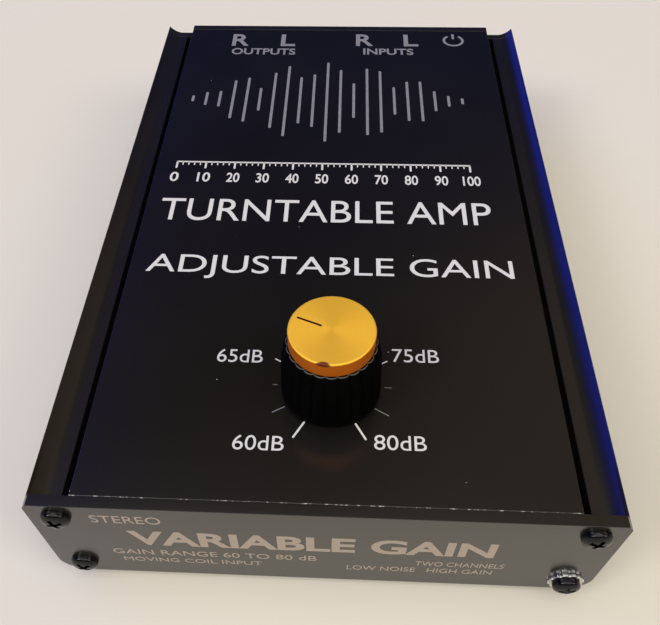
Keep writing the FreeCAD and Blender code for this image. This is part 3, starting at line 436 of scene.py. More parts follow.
def sliced(mesh, low, cuts):
    """Slices the faces above a height along upright planes, each a point and a normal."""
    for point, normal in cuts:
        top = [face for face in mesh.faces if face.calc_center_median().z > low]
        geometry = top + list({part for face in top for part in face.edges})
        geometry += list({part for face in top for part in face.verts})
        bmesh.ops.bisect_plane(mesh, geom=geometry, dist=merge_distance, plane_co=point, plane_no=normal)


def ring_at(mesh, radius, count, height):
    """A ring of vertices round Z at a height."""
    ring = bmesh.ops.create_circle(mesh, cap_ends=False, radius=radius, segments=count)["verts"]
    bmesh.ops.translate(mesh, vec=(0, 0, height), verts=ring)
    return ring


def ring_edges(ring):
    """The edges that run along a ring of vertices."""
    return {edge for corner in ring for edge in corner.link_edges if edge.other_vert(corner) in ring}


def bridged(mesh, loops):
    """Joins each ring of vertices to the next one."""
    for lower, upper in zip(loops, loops[1:]):
        bmesh.ops.bridge_loops(mesh, edges=list(ring_edges(lower) | ring_edges(upper)))


def bar(outline, start, end):
    """A bar along Y from an outline of (x, z) points."""
    mesh = bmesh.new()
    face = mesh.faces.new([mesh.verts.new((x, start, z)) for x, z in outline])
    pushed(mesh, [face], (0, end - start, 0))
    bmesh.ops.recalc_face_normals(mesh, faces=mesh.faces)
    return mesh


def both_sides(half):
    """A closed outline from the points of its right half."""
    return half + [(-x, z) for x, z in reversed(half)]


def round_edges(mesh, radius, segments=2, least=28.0, painted_light_mark=None):
    """Rounds every edge that turns by more than the least angle, and gives the rounding its own material."""
    sharp = [edge for edge in mesh.edges
             if len(edge.link_faces) == 2 and edge.calc_face_angle() > math.radians(least)]
    made = bmesh.ops.bevel(mesh, geom=sharp, offset=radius, offset_type="OFFSET", affect="EDGES",
                           segments=segments, profile=0.5, material=-1, clamp_overlap=True)
    if painted_light_mark is not None:
        for face in made["faces"]:
            face.material_index = painted_light_mark


def rounded_copy(node, radius, segments=2):
    """A CAD node's shape, merged, with whole flats and rounded edges."""
    mesh = bmesh.new()
    mesh.from_mesh(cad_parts[node].data)
    bmesh.ops.remove_doubles(mesh, verts=mesh.verts, dist=merge_distance)
    bmesh.ops.dissolve_limit(mesh, angle_limit=math.radians(0.5), verts=mesh.verts, edges=mesh.edges)
    round_edges(mesh, radius, segments)
    return mesh


def put(mesh, matrix):
    """Moves a whole mesh and gives it back."""
    bmesh.ops.transform(mesh, matrix=matrix, verts=mesh.verts)
    return mesh


def merged(parts):
    """Puts several meshes into one."""
    whole = bmesh.new()
    for part in parts:
        passing = bpy.data.meshes.new("passing")
        part.to_mesh(passing)
        part.free()
        whole.from_mesh(passing)
        bpy.data.meshes.remove(passing)
    return whole


def as_object(name, mesh):
    """An object at the origin that holds a mesh."""
    data = bpy.data.meshes.new(name)
    mesh.to_mesh(data)
    mesh.free()
    made = bpy.data.objects.new(name, data)
    bpy.context.scene.collection.objects.link(made)
    return made


def carved(mesh, cutters):
    """A mesh with the space of the cutters taken out."""
    body = as_object("body", mesh)
    tool = as_object("tool", merged(cutters))
    cut = body.modifiers.new("Cut", "BOOLEAN")
    cut.operation = "DIFFERENCE"
    cut.solver = "EXACT"
    cut.use_self = True
    cut.object = tool
    done = body.evaluated_get(bpy.context.evaluated_depsgraph_get()).to_mesh()
    result = bmesh.new()
    result.from_mesh(done)
    bpy.data.objects.remove(body)
    bpy.data.objects.remove(tool)
    return result


def finish_piece(name, mesh, materials, body, stands_for=(), sharp=50.0):
    """Makes the piece, shades it by the size of its faces, and hangs it on its body."""
    made = as_object(name, mesh)
    for material in materials:
        made.data.materials.append(material)
    made.data.shade_smooth()
    made.data.set_sharp_from_angle(angle=math.radians(sharp))
    even = made.modifiers.new("Even shading", "WEIGHTED_NORMAL")
    even.keep_sharp = True
    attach(made, body)
    if stands_for:
        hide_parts(*stands_for)
    return made


def dress(node, material):
    """Gives a CAD node a finish."""
    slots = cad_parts[node].data.materials
    slots.clear()
    slots.append(material)


def rearward(x, y, z):
    """A place whose own Z points to the rear."""
    return Matrix.Translation((x, y, z)) @ Matrix.Rotation(math.radians(-90), 4, "X")


def frontward(x, y, z):
    """A place whose own Z points to the front."""
    return Matrix.Translation((x, y, z)) @ Matrix.Rotation(math.radians(90), 4, "X")


class RailPlaces:
    """The places across the case that its outlines share, worked out from the case's sizes."""

    def __init__(self, look):
        self.slack = 0.12 * mm
        self.cover_half = (half_width - look.groove_width - look.strip_width - look.flank_width
                           - look.ridge_width)
        self.groove_outer = self.cover_half + look.groove_width
        self.strip_outer = self.groove_outer + look.strip_width
        self.peak = self.strip_outer + look.flank_width
        self.groove_z = top_z - look.groove_depth
        self.strip_z = top_z - look.strip_drop
        self.slot_top = self.groove_z - look.wall
        self.tongue = cover_high.x
        self.slot_low = cover_low.z
        self.channel = 1.29 * mm
        self.channel_x = half_width - 5.4 * mm
        self.channel_z = top_z - 4.3 * mm
        self.low_channel_z = base_z + 5.0 * mm
        self.boss = 2.5 * mm
        self.boss_x = self.cover_half - self.boss
        self.boss_z = top_z - 4.7 * mm


def lower_corner(look):
    """The rounded lower right corner of the case."""
    return arc(half_width - look.corner, base_z + look.corner, look.corner, -90, 0, 10)


def ridge_and_flank(look, rail):
    """The way up the outside, over the ridge and down the hollow slope to the strip."""
    slope = []
    for share in (0.125, 0.25, 0.375, 0.5, 0.625, 0.75, 0.875):
        sag = look.flank_sag * 4 * share * (1 - share) * math.sqrt(0.5)
        x = rail.peak - look.flank_width * share
        z = top_z - look.ridge_drop - share * (look.strip_drop - look.ridge_drop)
        slope.append((x + sag, z - sag))
    return ([(half_width, top_z - look.bevel_drop), (rail.peak, top_z - look.ridge_drop)] + slope
            + [(rail.strip_outer, rail.strip_z)])


def lower_boss(look, rail):
    """The slit screw channel that stands on the floor beside the wall, from the wall inwards."""
    boss = rail.channel + 1.5 * mm
    half_slit = 0.7 * mm
    outer = math.degrees(math.acos(half_slit / boss))
    inner = math.degrees(math.acos(half_slit / rail.channel))
    x, z = rail.channel_x, rail.low_channel_z
    return ([(half_width - look.wall, z)] + arc(x, z, boss, 0, outer, 6)
            + arc(x, z, rail.channel, inner, -180 - inner, 16) + arc(x, z, boss, 180 - outer, 180, 6)
            + [(x - boss, base_z + look.wall)])


def case_outline(look, rail):
    """The right half of the extrusion's section."""
    rise = math.degrees(math.acos((rail.groove_outer - rail.channel_x) / rail.channel))
    low = math.degrees(math.asin((rail.groove_z - rail.channel_z) / rail.channel))
    rail_bottom = rail.slot_low - 1.2 * mm
    inner = half_width - look.wall
    board_low, board_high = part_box("circuit_board")
    rib = 1.2 * mm
    reach = 2.2 * mm
    gap = 0.1 * mm
    ribs = []
    for start in (board_high.z + gap + rib, board_low.z - gap):
        ribs += [(inner, start), (inner - reach, start), (inner - reach, start - rib), (inner, start - rib)]
    return (lower_corner(look) + ridge_and_flank(look, rail) + [(rail.groove_outer, rail.strip_z)]
            + arc(rail.channel_x, rail.channel_z, rail.channel, rise, -180 - low, 16)
            + [(rail.cover_half + rail.slack, rail.groove_z), (rail.cover_half + rail.slack, rail.slot_top),
               (rail.tongue + rail.slack, rail.slot_top), (rail.tongue + rail.slack, rail.slot_low),
               (rail.cover_half + rail.slack, rail.slot_low), (rail.cover_half + rail.slack, rail_bottom),
               (inner, rail_bottom)] + ribs + lower_boss(look, rail))


def screw_cutter(x, z, face_y, place):
    """The space of a screw hole and its countersink, set in a plate's outer face."""
    hole = 1.6 * mm
    sink = 2.9 * mm
    spare = 0.5 * mm
    depth = sink - hole
    profile = [(0, -4 * mm), (hole, -4 * mm), (hole, -depth), (sink, 0), (sink, spare), (0, spare)]
    return put(turned(profile, 48), place(x, face_y, z))


def pan_screw(look, turn):
    """A pan-head screw along Z, its seat at zero, with a tapered cross recess."""
    shank = 1.25 * mm
    length = 11 * mm
    side = look.height - look.crown
    dome = [(look.head * math.cos(angle), side + look.crown * math.sin(angle))
            for angle in [math.radians(10 * step) for step in range(10)]]
    foot = [(0, -length), (shank - 0.4 * mm, -length), (shank, -length + 0.4 * mm), (shank, 0),
            (look.head - 0.12 * mm, 0), (look.head, 0.12 * mm)]
    mesh = turned(foot + dome, 48)
    reaches = [sign * half for half in (look.slot / 2, look.span / 2) for sign in (-1, 1)]
    directions = (Vector((1, 0, 0)), Vector((0, 1, 0)))
    cuts = [(across * reach, across) for across in directions for reach in reaches]
    sliced(mesh, side, cuts)
    arms = []
    for face in mesh.faces:
        middle = face.calc_center_median()
        near = sorted((abs(middle.x), abs(middle.y)))
        if middle.z > side and near[0] < look.slot / 2 and near[1] < look.span / 2:
            arms.append(face)
    for corner in sunk(mesh, arms, (0, 0, 0)):
        corner.co.z = look.height - look.depth * (1.15 - 0.45 * corner.co.xy.length / (look.span / 2))
        corner.co.xy *= 0.86
    return put(mesh, Matrix.Rotation(math.radians(turn), 4, "Z"))


def knob_rings(look):
    """The levels of the knob's outside: height, radius and depth of the valleys."""
    low = knob_low.z
    foot = knob_high.x - knob_centre.x
    shoulder = cap_low.z
    rim = low + look.rim
    belly = low + look.belly_height
    levels = [(low, foot - 0.25 * mm, 0), (low + 0.2 * mm, foot, 0), (rim, foot, 0)]
    for share in (0.02, 0.08, 0.5, 0.9):
        radius = foot + (look.belly - foot) * share
        levels.append((rim + (belly - rim) * share, radius, look.rib_depth * min(1.0, share / 0.08)))
    for share in (0.06, 0.25, 0.5, 0.75, 0.93):
        radius = look.belly + (look.shoulder - look.belly) * share
        levels.append((belly + (shoulder - belly) * share, radius, look.rib_depth))
    levels += [(shoulder - 0.22 * mm, look.shoulder - 0.02 * mm, look.rib_depth),
               (shoulder - 0.08 * mm, look.shoulder - 0.12 * mm, look.rib_depth),
               (shoulder, look.shoulder - 0.32 * mm, look.rib_depth * 0.8),
               (shoulder, look.shoulder - 1.1 * mm, 0)]
    return levels


def knob_moulding(look):
    """The ribbed body: rings that follow the ribs, bridged from the foot to the shoulder."""
    mesh = bmesh.new()
    per_rib = 10
    rib_roundness = 0.97
    count = look.ribs * per_rib
    loops = []
    for height, radius, depth in knob_rings(look):
        ring = ring_at(mesh, radius, count, height)
        for index, corner in enumerate(ring):
            share = (index % per_rib) / per_rib * 2 - 1
            inset = depth * (1 - math.sqrt(max(0.0, 1 - (rib_roundness * share) ** 2)))
            corner.co.xy *= (radius - inset) / radius
        loops.append(ring)
    bridged(mesh, loops)
    for ring in (loops[0], loops[-1]):
        bmesh.ops.contextual_create(mesh, geom=list(ring_edges(ring)))
    bmesh.ops.recalc_face_normals(mesh, faces=mesh.faces)
    # Faces in a thin ring just under the cap take slot 1, the grey painted highlight of the rounded rib tops.
    for face in mesh.faces:
        if -0.1 * mm < face.calc_center_median().z - cap_low.z < -0.01 * mm:
            face.material_index = 1
    half_rib = math.pi / look.ribs
    return put(mesh, Matrix.Translation((knob_centre.x, knob_centre.y, 0))
               @ Matrix.Rotation(math.radians(-89) - half_rib, 4, "Z"))


def knob_cap(look):
    """The spun cap with its engraved pointer line."""
    radius = cap_high.x - knob_centre.x
    high = cap_high.z
    edge = look.cap_edge
    wall = 0.8 * mm
    inner = radius - wall
    upper = arc(radius - edge, high - edge, edge, 0, 90, 6)
    rings = [(share * (radius - edge), high) for share in (0.75, 0.5, 0.25, 0)]
    profile = ([(0, high - wall), (inner, high - wall), (inner, cap_low.z), (radius - 0.08 * mm, cap_low.z),
                (radius, cap_low.z + 0.08 * mm)] + upper + rings)
    mesh = turned(profile, 128)
    put(mesh, Matrix.Rotation(-look.pointer_turn, 4, "Z"))
    limits = [((0, look.pointer_width / 2, 0), (0, 1, 0)), ((0, -look.pointer_width / 2, 0), (0, 1, 0)),
              ((look.pointer_inner, 0, 0), (1, 0, 0)), ((look.pointer_outer, 0, 0), (1, 0, 0))]
    sliced(mesh, high - 0.001 * mm, limits)
    line = []
    for face in mesh.faces:
        middle = face.calc_center_median()
        along = look.pointer_inner < middle.x < look.pointer_outer
        if along and abs(middle.y) < look.pointer_width / 2 and middle.z > high - 0.001 * mm:
            line.append(face)
    sunk(mesh, line, (0, 0, -0.25 * mm))
    # The engraved line's walls and floor take slot 1, coloured dark red.
    for face in mesh.faces:
        middle = face.calc_center_median()
        if high - 0.3 * mm < middle.z < high - 0.02 * mm and abs(middle.y) < look.pointer_width \
                and 0 < middle.x < look.pointer_outer + 0.1 * mm:
            face.material_index = 1
    return put(mesh, Matrix.Translation((knob_centre.x, knob_centre.y, 0))
               @ Matrix.Rotation(look.pointer_turn, 4, "Z"))


def lettering(words, left, right, low, high, rise, weight=0.0):
    """Raised lettering that fills a rectangle in the XY plane, as a mesh."""
    curve = bpy.data.curves.new("lettering", "FONT")
    curve.body = words
    curve.offset = weight
    curve.extrude = 0.5
    curve.resolution_u = 5
    holder = bpy.data.objects.new("lettering", curve)
    made = bpy.data.meshes.new_from_object(holder)
    mesh = bmesh.new()
    mesh.from_mesh(made)
    bpy.data.objects.remove(holder)
    bpy.data.curves.remove(curve)
    bpy.data.meshes.remove(made)
    bmesh.ops.remove_doubles(mesh, verts=mesh.verts, dist=1e-5)
    places = [corner.co for corner in mesh.verts]
    first = Vector((min(p.x for p in places), min(p.y for p in places), -0.5))
    last = Vector((max(p.x for p in places), max(p.y for p in places), 0.5))
    scale = ((right - left) / (last.x - first.x), (high - low) / (last.y - first.y), rise)
    bmesh.ops.translate(mesh, vec=-first, verts=mesh.verts)
    bmesh.ops.scale(mesh, vec=scale, verts=mesh.verts)
    bmesh.ops.translate(mesh, vec=(left, low, 0), verts=mesh.verts)
    return mesh


def placed_words(rows, rise, weight=0.0):
    """Lettering from rows of words, left, right, low and high in millimetres."""
    return [lettering(words, *[edge * mm for edge in box], rise, weight) for words, *box in rows]


def stroke(x, y, length, width, turn, rise):
    """A printed stroke with round ends, its middle at (x, y)."""
    mesh = bmesh.new()
    ends = arc(length / 2 - width / 2, 0, width / 2, -90, 90, 6) + arc(width / 2 - length / 2, 0, width / 2,
                                                                    90, 270, 6)
    face = mesh.faces.new([mesh.verts.new((px, py, 0)) for px, py in ends])
    pushed(mesh, [face], (0, 0, rise))
    bmesh.ops.recalc_face_normals(mesh, faces=mesh.faces)
    return put(mesh, Matrix.Translation((x, y, 0)) @ Matrix.Rotation(math.radians(turn), 4, "Z"))


def on_cover(mesh):
    """Sets flat print on the cover."""
    return put(mesh, Matrix.Translation((0, 0, top_z)))


def dial_marks(marks, rise):
    """Ticks round the knob, each an angle, a near and a far radius and a width."""
    strokes = []
    for angle, near, far, width in marks:
        middle = (near + far) / 2 * mm
        x = knob_centre.x + middle * math.cos(math.radians(angle))
        y = knob_centre.y + middle * math.sin(math.radians(angle))
        strokes.append(stroke(x, y, (far - near) * mm, width * mm, angle, rise))
    return strokes


def power_symbol(x, y, radius, rise):
    """A broken ring with a short stroke at its gap."""
    width = 0.75 * mm
    mesh = bmesh.new()
    outer = arc(x, y, radius, 125, 415, 24)
    inner = arc(x, y, radius - width, 415, 125, 24)
    face = mesh.faces.new([mesh.verts.new((px, py, 0)) for px, py in outer + inner])
    pushed(mesh, [face], (0, 0, rise))
    bmesh.ops.recalc_face_normals(mesh, faces=mesh.faces)
    return [mesh, stroke(x, y + radius * 0.7, radius * 0.9, width, 90, rise)]


class PREAMP_OT_case(bpy.types.Operator):
    """Builds the extruded body, the cover and the two end plates"""

    bl_idname = "preamp.case"
    bl_label = "Build case"

    def execute(self, context):
        look = context.scene.preamp_case
        rail = RailPlaces(look)
        drawn = anodised("Drawn black anodised aluminium", list(look.dye), 0.22, 0.02, 0.0)
        satin = anodised("Satin black anodised aluminium", list(look.cover_dye), 0.2, 0.02, 1.0)
        smooth = anodised("Smooth black anodised plate", list(look.plate_dye), 0.2, 1.0, 0.0)
        glint_edge_finish = painted_glint_edge(list(look.dye))

        body = bar(both_sides(case_outline(look, rail)), case_low.y, case_high.y)
        round_edges(body, look.edge * 0.7)
        finish_piece("extruded_case", body, [drawn], "case", ["case_body"])

        leg = 1.9 * mm
        tongue_top = cover_low.z + 1.4 * mm
        outline = [(rail.cover_half - leg, cover_low.z), (rail.tongue, cover_low.z),
                   (rail.tongue, tongue_top), (rail.cover_half, tongue_top), (rail.cover_half, top_z)]
        reach = math.degrees(math.acos((rail.cover_half - leg - rail.boss_x) / rail.boss))
        under = top_z - 2 * mm
        inside = ([(rail.boss_x - rail.boss, under)]
                  + arc(rail.boss_x, rail.boss_z, rail.boss, -180, -reach, 12))
        cover = bar(both_sides(inside + outline), cover_low.y, cover_high.y)
        # The cover's rounded edges take slot 1, the black edge with painted highlight specks at its front
        # end.
        round_edges(cover, look.edge, painted_light_mark=1)
        neck = put(turned([(0, -3 * mm), (3.6 * mm, -3 * mm), (3.6 * mm, 1 * mm), (0, 1 * mm)], 48),
                   Matrix.Translation((knob_centre.x, knob_centre.y, top_z)))
        long_hole = [(0, cover_low.y - 1 * mm), (rail.channel, cover_low.y - 1 * mm),
                     (rail.channel, cover_high.y + 1 * mm), (0, cover_high.y + 1 * mm)]
        holes = [put(turned(long_hole, 24), rearward(side * rail.boss_x, 0, rail.boss_z)) for side in (-1, 1)]
        cover = carved(cover, [neck] + holes)
        finish_piece("cover_panel", cover, [satin, glint_edge_finish], "case", ["top_cover"])

        outline = lower_corner(look) + [(half_width, top_z - look.bevel_drop),
                                        (half_width - look.bevel_width, top_z)]
        plate = bar(both_sides(outline), plate_low.y, plate_high.y)
        round_edges(plate, look.plate_edge)
        heights = (rail.channel_z, rail.low_channel_z)
        places = [(side * rail.channel_x, z) for side in (-1, 1) for z in heights]
        plate = carved(plate, [screw_cutter(x, z, plate_low.y, frontward) for x, z in places])
        finish_piece("front_panel", plate, [smooth], "case", ["front_plate"])

        outline = lower_corner(look) + ridge_and_flank(look, rail) + [(rail.cover_half, rail.strip_z),
                                                                     (rail.cover_half, top_z)]
        plate = bar(both_sides(outline), rear_low.y, rear_high.y)
        round_edges(plate, look.plate_edge)
        places = [(side * x, z) for side in (-1, 1) for x, z in ((rail.boss_x, rail.boss_z),
                                                                 (rail.channel_x, rail.low_channel_z))]
        plate = carved(plate, [screw_cutter(x, z, rear_high.y, rearward) for x, z in places])
        finish_piece("rear_panel", plate, [smooth], "case", ["rear_plate"])
        return {"FINISHED"}


class PREAMP_OT_screws(bpy.types.Operator):
    """Builds the eight pan-head screws of the end plates"""

    bl_idname = "preamp.screws"
    bl_label = "Build screws"

    def execute(self, context):
        look = context.scene.preamp_screws
        rail = RailPlaces(context.scene.preamp_case)
        zinc = black_zinc(list(look.finish))
        sink = 0.2 * mm
        on_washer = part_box("front_lock_washer")[0].y
        front = [(-rail.channel_x, rail.channel_z, plate_low.y + sink, 20),
                 (rail.channel_x, rail.channel_z, plate_low.y + sink, 68),
                 (-rail.channel_x, rail.low_channel_z, plate_low.y + sink, 35),
                 (rail.channel_x, rail.low_channel_z, on_washer, 12)]
        rear = [(-rail.boss_x, rail.boss_z, 15), (rail.boss_x, rail.boss_z, 52),
                (-rail.channel_x, rail.low_channel_z, 80), (rail.channel_x, rail.low_channel_z, 31)]
        sets = {"front": [put(pan_screw(look, turn), frontward(x, seat, z)) for x, z, seat, turn in front],
                "rear": [put(pan_screw(look, turn), rearward(x, rear_high.y - sink, z))
                         for x, z, turn in rear]}
        for side, heads in sets.items():
            finish_piece(side + "_screws", merged(heads), [zinc], "case", [side + "_plate_screws"],
                         35.0)
        bright = plated_metal("Bright zinc-plated steel", "#dcdcd8", 0.25, 0.3 * mm)
        finish_piece("toothed_washer", rounded_copy("front_lock_washer", 0.08 * mm), [bright], "case",
                     ["front_lock_washer"], 35.0)
        return {"FINISHED"}


class PREAMP_OT_knob(bpy.types.Operator):
    """Builds the ribbed knob with its spun cap and pointer line"""

    bl_idname = "preamp.knob"
    bl_label = "Build knob"

    def execute(self, context):
        look = context.scene.preamp_knob
        black = moulded("Moulded black phenolic", list(look.moulding), 0.6, 0.6 * mm, 0.02)
        # Painted highlight: the grey rib ends stand in for light caught on the rounded rib tops.
        painted_rib_glint = moulded("Rib ends with painted highlight", srgb("#3c3a34"), 0.5, 0.3 * mm)
        gold = spun_gold(list(look.gold), list(look.shaded_side_gold))
        pointer_colour = moulded("Dark red pointer line", srgb("#2a0a05"), 0.5, 0.3 * mm, 0.1)
        finish_piece("knob_moulding", knob_moulding(look), [black, painted_rib_glint], "gain_knob", ["knob_body"],
                     60.0)
        finish_piece("spun_cap", knob_cap(look), [gold, pointer_colour], "gain_knob", ["knob_cap"],
                     40.0)
        return {"FINISHED"}


class PREAMP_OT_legends(bpy.types.Operator):
    """Prints the legends and dial marks on the cover and the front"""

    bl_idname = "preamp.legends"
    bl_label = "Print legends"

    def execute(self, context):
        look = context.scene.preamp_legends
        rise = look.rise
        white = ink("White screen ink", list(look.ink), 0.12)
        faint = ink("Thin grey screen ink", list(look.faint_ink), 0.35)
        etched = ink("Laser-marked anodising", list(look.etch), 0.2)
        dial = [("65dB", -22.6, -13.2, -54.5, -51.2), ("75dB", 13.2, 22.7, -53.4, -50.1),
                ("60dB", -17.3, -7.6, -74.7, -71.5), ("80dB", 9.3, 19.1, -73.8, -70.6)]
        bold = [(240, 9.7, 13.9, 0.4), (-60, 9.7, 13.9, 0.4), (151, 11.2, 13.2, 0.28),
                (30, 11.2, 13.1, 0.28)]
        thin = [(210, 10.2, 13.0, 0.18), (-30, 9.9, 13.1, 0.18), (180, 10.6, 11.6, 0.12),
                (0, 10.6, 12.0, 0.12), (120, 10.2, 13.0, 0.18), (90, 10.2, 13.0, 0.18),
                (60, 10.2, 13.0, 0.18)]
        titles = [(look.kind_line, -42.0, 38.0, -12.6, -4.8), (look.gain_line, -41.9, 40.9, -31.4, -24.1)]
        rear = [("R", -32.6, -27.4, 65.4, 72.0), ("L", -17.6, -13.2, 65.4, 72.0),
                ("R", 5.4, 10.6, 65.8, 72.4), ("L", 19.9, 24.3, 65.8, 72.4),
                ("OUTPUTS", -32.2, -12.9, 60.6, 64.0), ("INPUTS", 7.6, 22.6, 61.0, 64.4)]
        symbol = power_symbol(35.0 * mm, 69.2 * mm, 3.2 * mm, rise)
        prints = [("dial_legends", placed_words(dial, rise) + dial_marks(bold, rise), white),
                  ("dial_ticks", dial_marks(thin, rise), faint),
                  ("title_lines", placed_words(titles, rise), white),
                  ("socket_legends", placed_words(rear, rise, 0.02) + symbol, faint),
                  ("level_graphic", self.level_graphic(rise), faint),
                  ("number_scale", self.number_scale(rise), white)]
        for name, meshes, material in prints:
            finish_piece(name, on_cover(merged(meshes)), [material], "case")

        front = [("STEREO", -42.4, -29.4, 26.4, 29.4), ("GAIN RANGE 60 TO 80 dB", -41.4, -1.0, 11.8, 14.2),
                 ("MOVING COIL INPUT", -40.0, -12.0, 8.2, 10.2), ("TWO CHANNELS", 18.3, 35.5, 11.4, 13.6),
                 ("LOW NOISE   HIGH GAIN", 5.0, 33.7, 8.0, 10.2)]
        meshes = placed_words([("VARIABLE GAIN", -36.8, 32.6, 16.6, 23.2)], rise, 0.03)
        meshes += placed_words(front, rise)
        marks = put(merged(meshes), Matrix.Translation((0, plate_low.y, 0))
                    @ Matrix.Rotation(math.radians(90), 4, "X"))
        finish_piece("front_marks", marks, [etched], "case")
        return {"FINISHED"}

    def level_graphic(self, rise):
        """A centred row of strokes that swells and fades, like a burst of sound."""
        count = 21
        first = -40.5 * mm
        pitch = 3.78 * mm
        middle = 37.5 * mm
        tallest = 38 * mm
        strokes = []
        for index in range(count):
            swell = math.sin(math.pi * (index + 0.5) / count)
            beat = 0.35 + 0.65 * abs(math.cos(index * 0.93))
            strokes.append(stroke(first + index * pitch, middle, tallest * swell * beat, 0.75 * mm, 90, rise))
        return strokes

    def number_scale(self, rise):
        """A ruled scale with plain numbers under its longer marks."""
        left = -40.5 * mm
        pitch = 7.5 * mm
        line = 9.4 * mm
        meshes = [stroke(left + 5 * pitch, line, 10 * pitch + 0.5 * mm, 0.5 * mm, 0, rise)]
        for index in range(51):
            long = index % 5 == 0
            tall = (2.6 if long else 1.3) * mm
            meshes.append(stroke(left + index * pitch / 5, line - tall / 2, tall, (0.5 if long else 0.3) * mm,
                                 90, rise))
        for index in range(11):
            words = str(index * 10)
            wide = (1.1 + 1.1 * len(words)) * mm
            x = left + index * pitch
            meshes.append(lettering(words, x - wide / 2, x + wide / 2, 1.6 * mm, 5.2 * mm, rise, 0.015))
        return meshes


class PREAMP_OT_sockets(bpy.types.Operator):
    """Builds the phono sockets, the power socket and the ground post on the rear"""

    bl_idname = "preamp.sockets"
    bl_label = "Build sockets"

    def execute(self, context):
        gold = plated_metal("Gold-plated brass", "#dcae55", 0.22, 0.4 * mm)
        nickel = plated_metal("Nickel-plated brass", "#c9c3b6", 0.24, 0.4 * mm)
        brass = plated_metal("Turned brass", "#c9a24f", 0.3, 0.3 * mm)
        tin = plated_metal("Tinned copper", "#b9b7b0", 0.35, 0.4 * mm)
        black = moulded("Moulded black nylon", srgb("#101012"), 0.42, 0.5 * mm)
        white = moulded("Moulded white acetal", srgb("#d8d6cf"), 0.35, 0.5 * mm)
        red = moulded("Moulded red nylon", srgb("#a5161a"), 0.38, 0.5 * mm)
        laminate = moulded("Brown paper laminate", srgb("#5a3a1e"), 0.6, 0.3 * mm)
        xs = [-29.9 * mm, -15.6 * mm, 7.6 * mm, 21.9 * mm]
        face = rear_high.y + 1.0 * mm
        finish_piece("socket_barrels", merged([self.barrel(x, face) for x in xs]), [gold], "case",
                     ["phono_socket_shells"], 40.0)
        for name, chosen, material in (("right_socket_washers", xs[0::2], red),
                                       ("left_socket_washers", xs[1::2], white)):
            finish_piece(name, merged([self.washer(x) for x in chosen]), [material], "case",
                         ["phono_socket_outer_washers"], 40.0)
        copies = [("socket_cores", "phono_socket_insulators", 0.12, white, "white_plastic", "case"),
                  ("socket_contacts", "phono_socket_contacts", 0.1, gold, "gold_plate", "case"),
                  ("power_inlet", "power_socket", 0.25, black, "black_plastic", "case"),
                  ("power_inlet_nut", "power_socket_nut", 0.2, nickel, "nickel", "case"),
                  ("post_nut", "ground_post_outer_nut", 0.2, nickel, "nickel", "case"),
                  ("post_washer", "ground_clamp_washer", 0.12, gold, "gold_plate", "clamp_washer")]
        for name, node, radius, material, slot, body in copies:
            finish_piece(name, rounded_copy(node, radius * mm), [material], body, [node], 40.0)
        finish_piece("post_stud", self.stud(), [brass], "case", ["ground_post"], 40.0)
        finish_piece("thumb_nut", self.thumb_nut(), [gold], "thumb_nut", ["ground_thumb_nut"],
                     40.0)
        finish_piece("feet", rounded_copy("rubber_feet", 0.35 * mm, 3), [foot_rubber()], "case",
                     ["rubber_feet"], 40.0)
        plain = {"phono_socket_inner_washers": laminate, "phono_socket_lugs": tin,
                 "phono_socket_nuts": nickel, "power_socket_pin": nickel,
                 "power_socket_spring": tin, "power_socket_lugs": tin,
                 "ground_post_lug": tin, "ground_post_inner_nut": nickel}
        for node, material in plain.items():
            dress(node, material)
        return {"FINISHED"}

    def barrel(self, x, face):
        """A hexagonal flange and a barrel with a turned groove."""
        flange = 2.0 * mm
        outer = 4.15 * mm
        bore = 3.5 * mm
        length = 8.0 * mm
        hexagon = bmesh.new()
        across = 9.6 * mm
        bmesh.ops.create_circle(hexagon, cap_ends=True, radius=across / math.sqrt(3), segments=6)
        pushed(hexagon, list(hexagon.faces), (0, 0, flange))
        bmesh.ops.recalc_face_normals(hexagon, faces=hexagon.faces)
        round_edges(hexagon, 0.2 * mm)
        mouth = flange + length
        cut = 0.12 * mm
        profile = [(bore, flange), (outer, flange), (outer, mouth - 3.2 * mm),
                   (outer - cut, mouth - 3.1 * mm), (outer - cut, mouth - 2.7 * mm),
                   (outer, mouth - 2.6 * mm), (outer, mouth - 0.3 * mm),
                   (outer - 0.3 * mm, mouth), (bore + 0.1 * mm, mouth), (bore, mouth - 0.1 * mm)]
        neck = 3.9 * mm
        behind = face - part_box("phono_socket_shells")[0].y
        back = [(bore, -behind), (neck, -behind), (neck, 0), (bore, 0)]
        parts = [hexagon, turned(profile, 64, closed=True), turned(back, 48, closed=True)]
        return put(merged(parts), rearward(x, face, socket_z) @ Matrix.Rotation(math.radians(30), 4, "Z"))

    def washer(self, x):
        """A moulded washer with softened rims."""
        radius = 5.4 * mm
        bore = 3.94 * mm
        thick = 1.0 * mm
        soft = 0.25 * mm
        profile = [(bore, 0), (radius - soft, 0), (radius, soft), (radius, thick - soft),
                   (radius - soft, thick), (bore, thick)]
        return put(turned(profile, 64, closed=True), rearward(x, rear_high.y, socket_z))

    def stud(self):
        """The post with its thread turned as close rings."""
        radius = (post_high.x - post_low.x) / 2
        length = post_high.y - post_low.y
        pitch = 0.7 * mm
        depth = 0.3 * mm
        profile = [(0, 0), (radius - depth, 0)]
        count = int((length - 1 * mm) / pitch)
        for index in range(count):
            start = 0.2 * mm + index * pitch
            profile += [(radius, start + pitch * 0.35), (radius, start + pitch * 0.55),
                        (radius - depth, start + pitch * 0.9)]
        profile += [(radius - 0.5 * mm, length - 0.1 * mm), (radius - 0.7 * mm, length), (0, length)]
        x = (post_low.x + post_high.x) / 2
        return put(turned(profile, 40), rearward(x, post_low.y, socket_z))

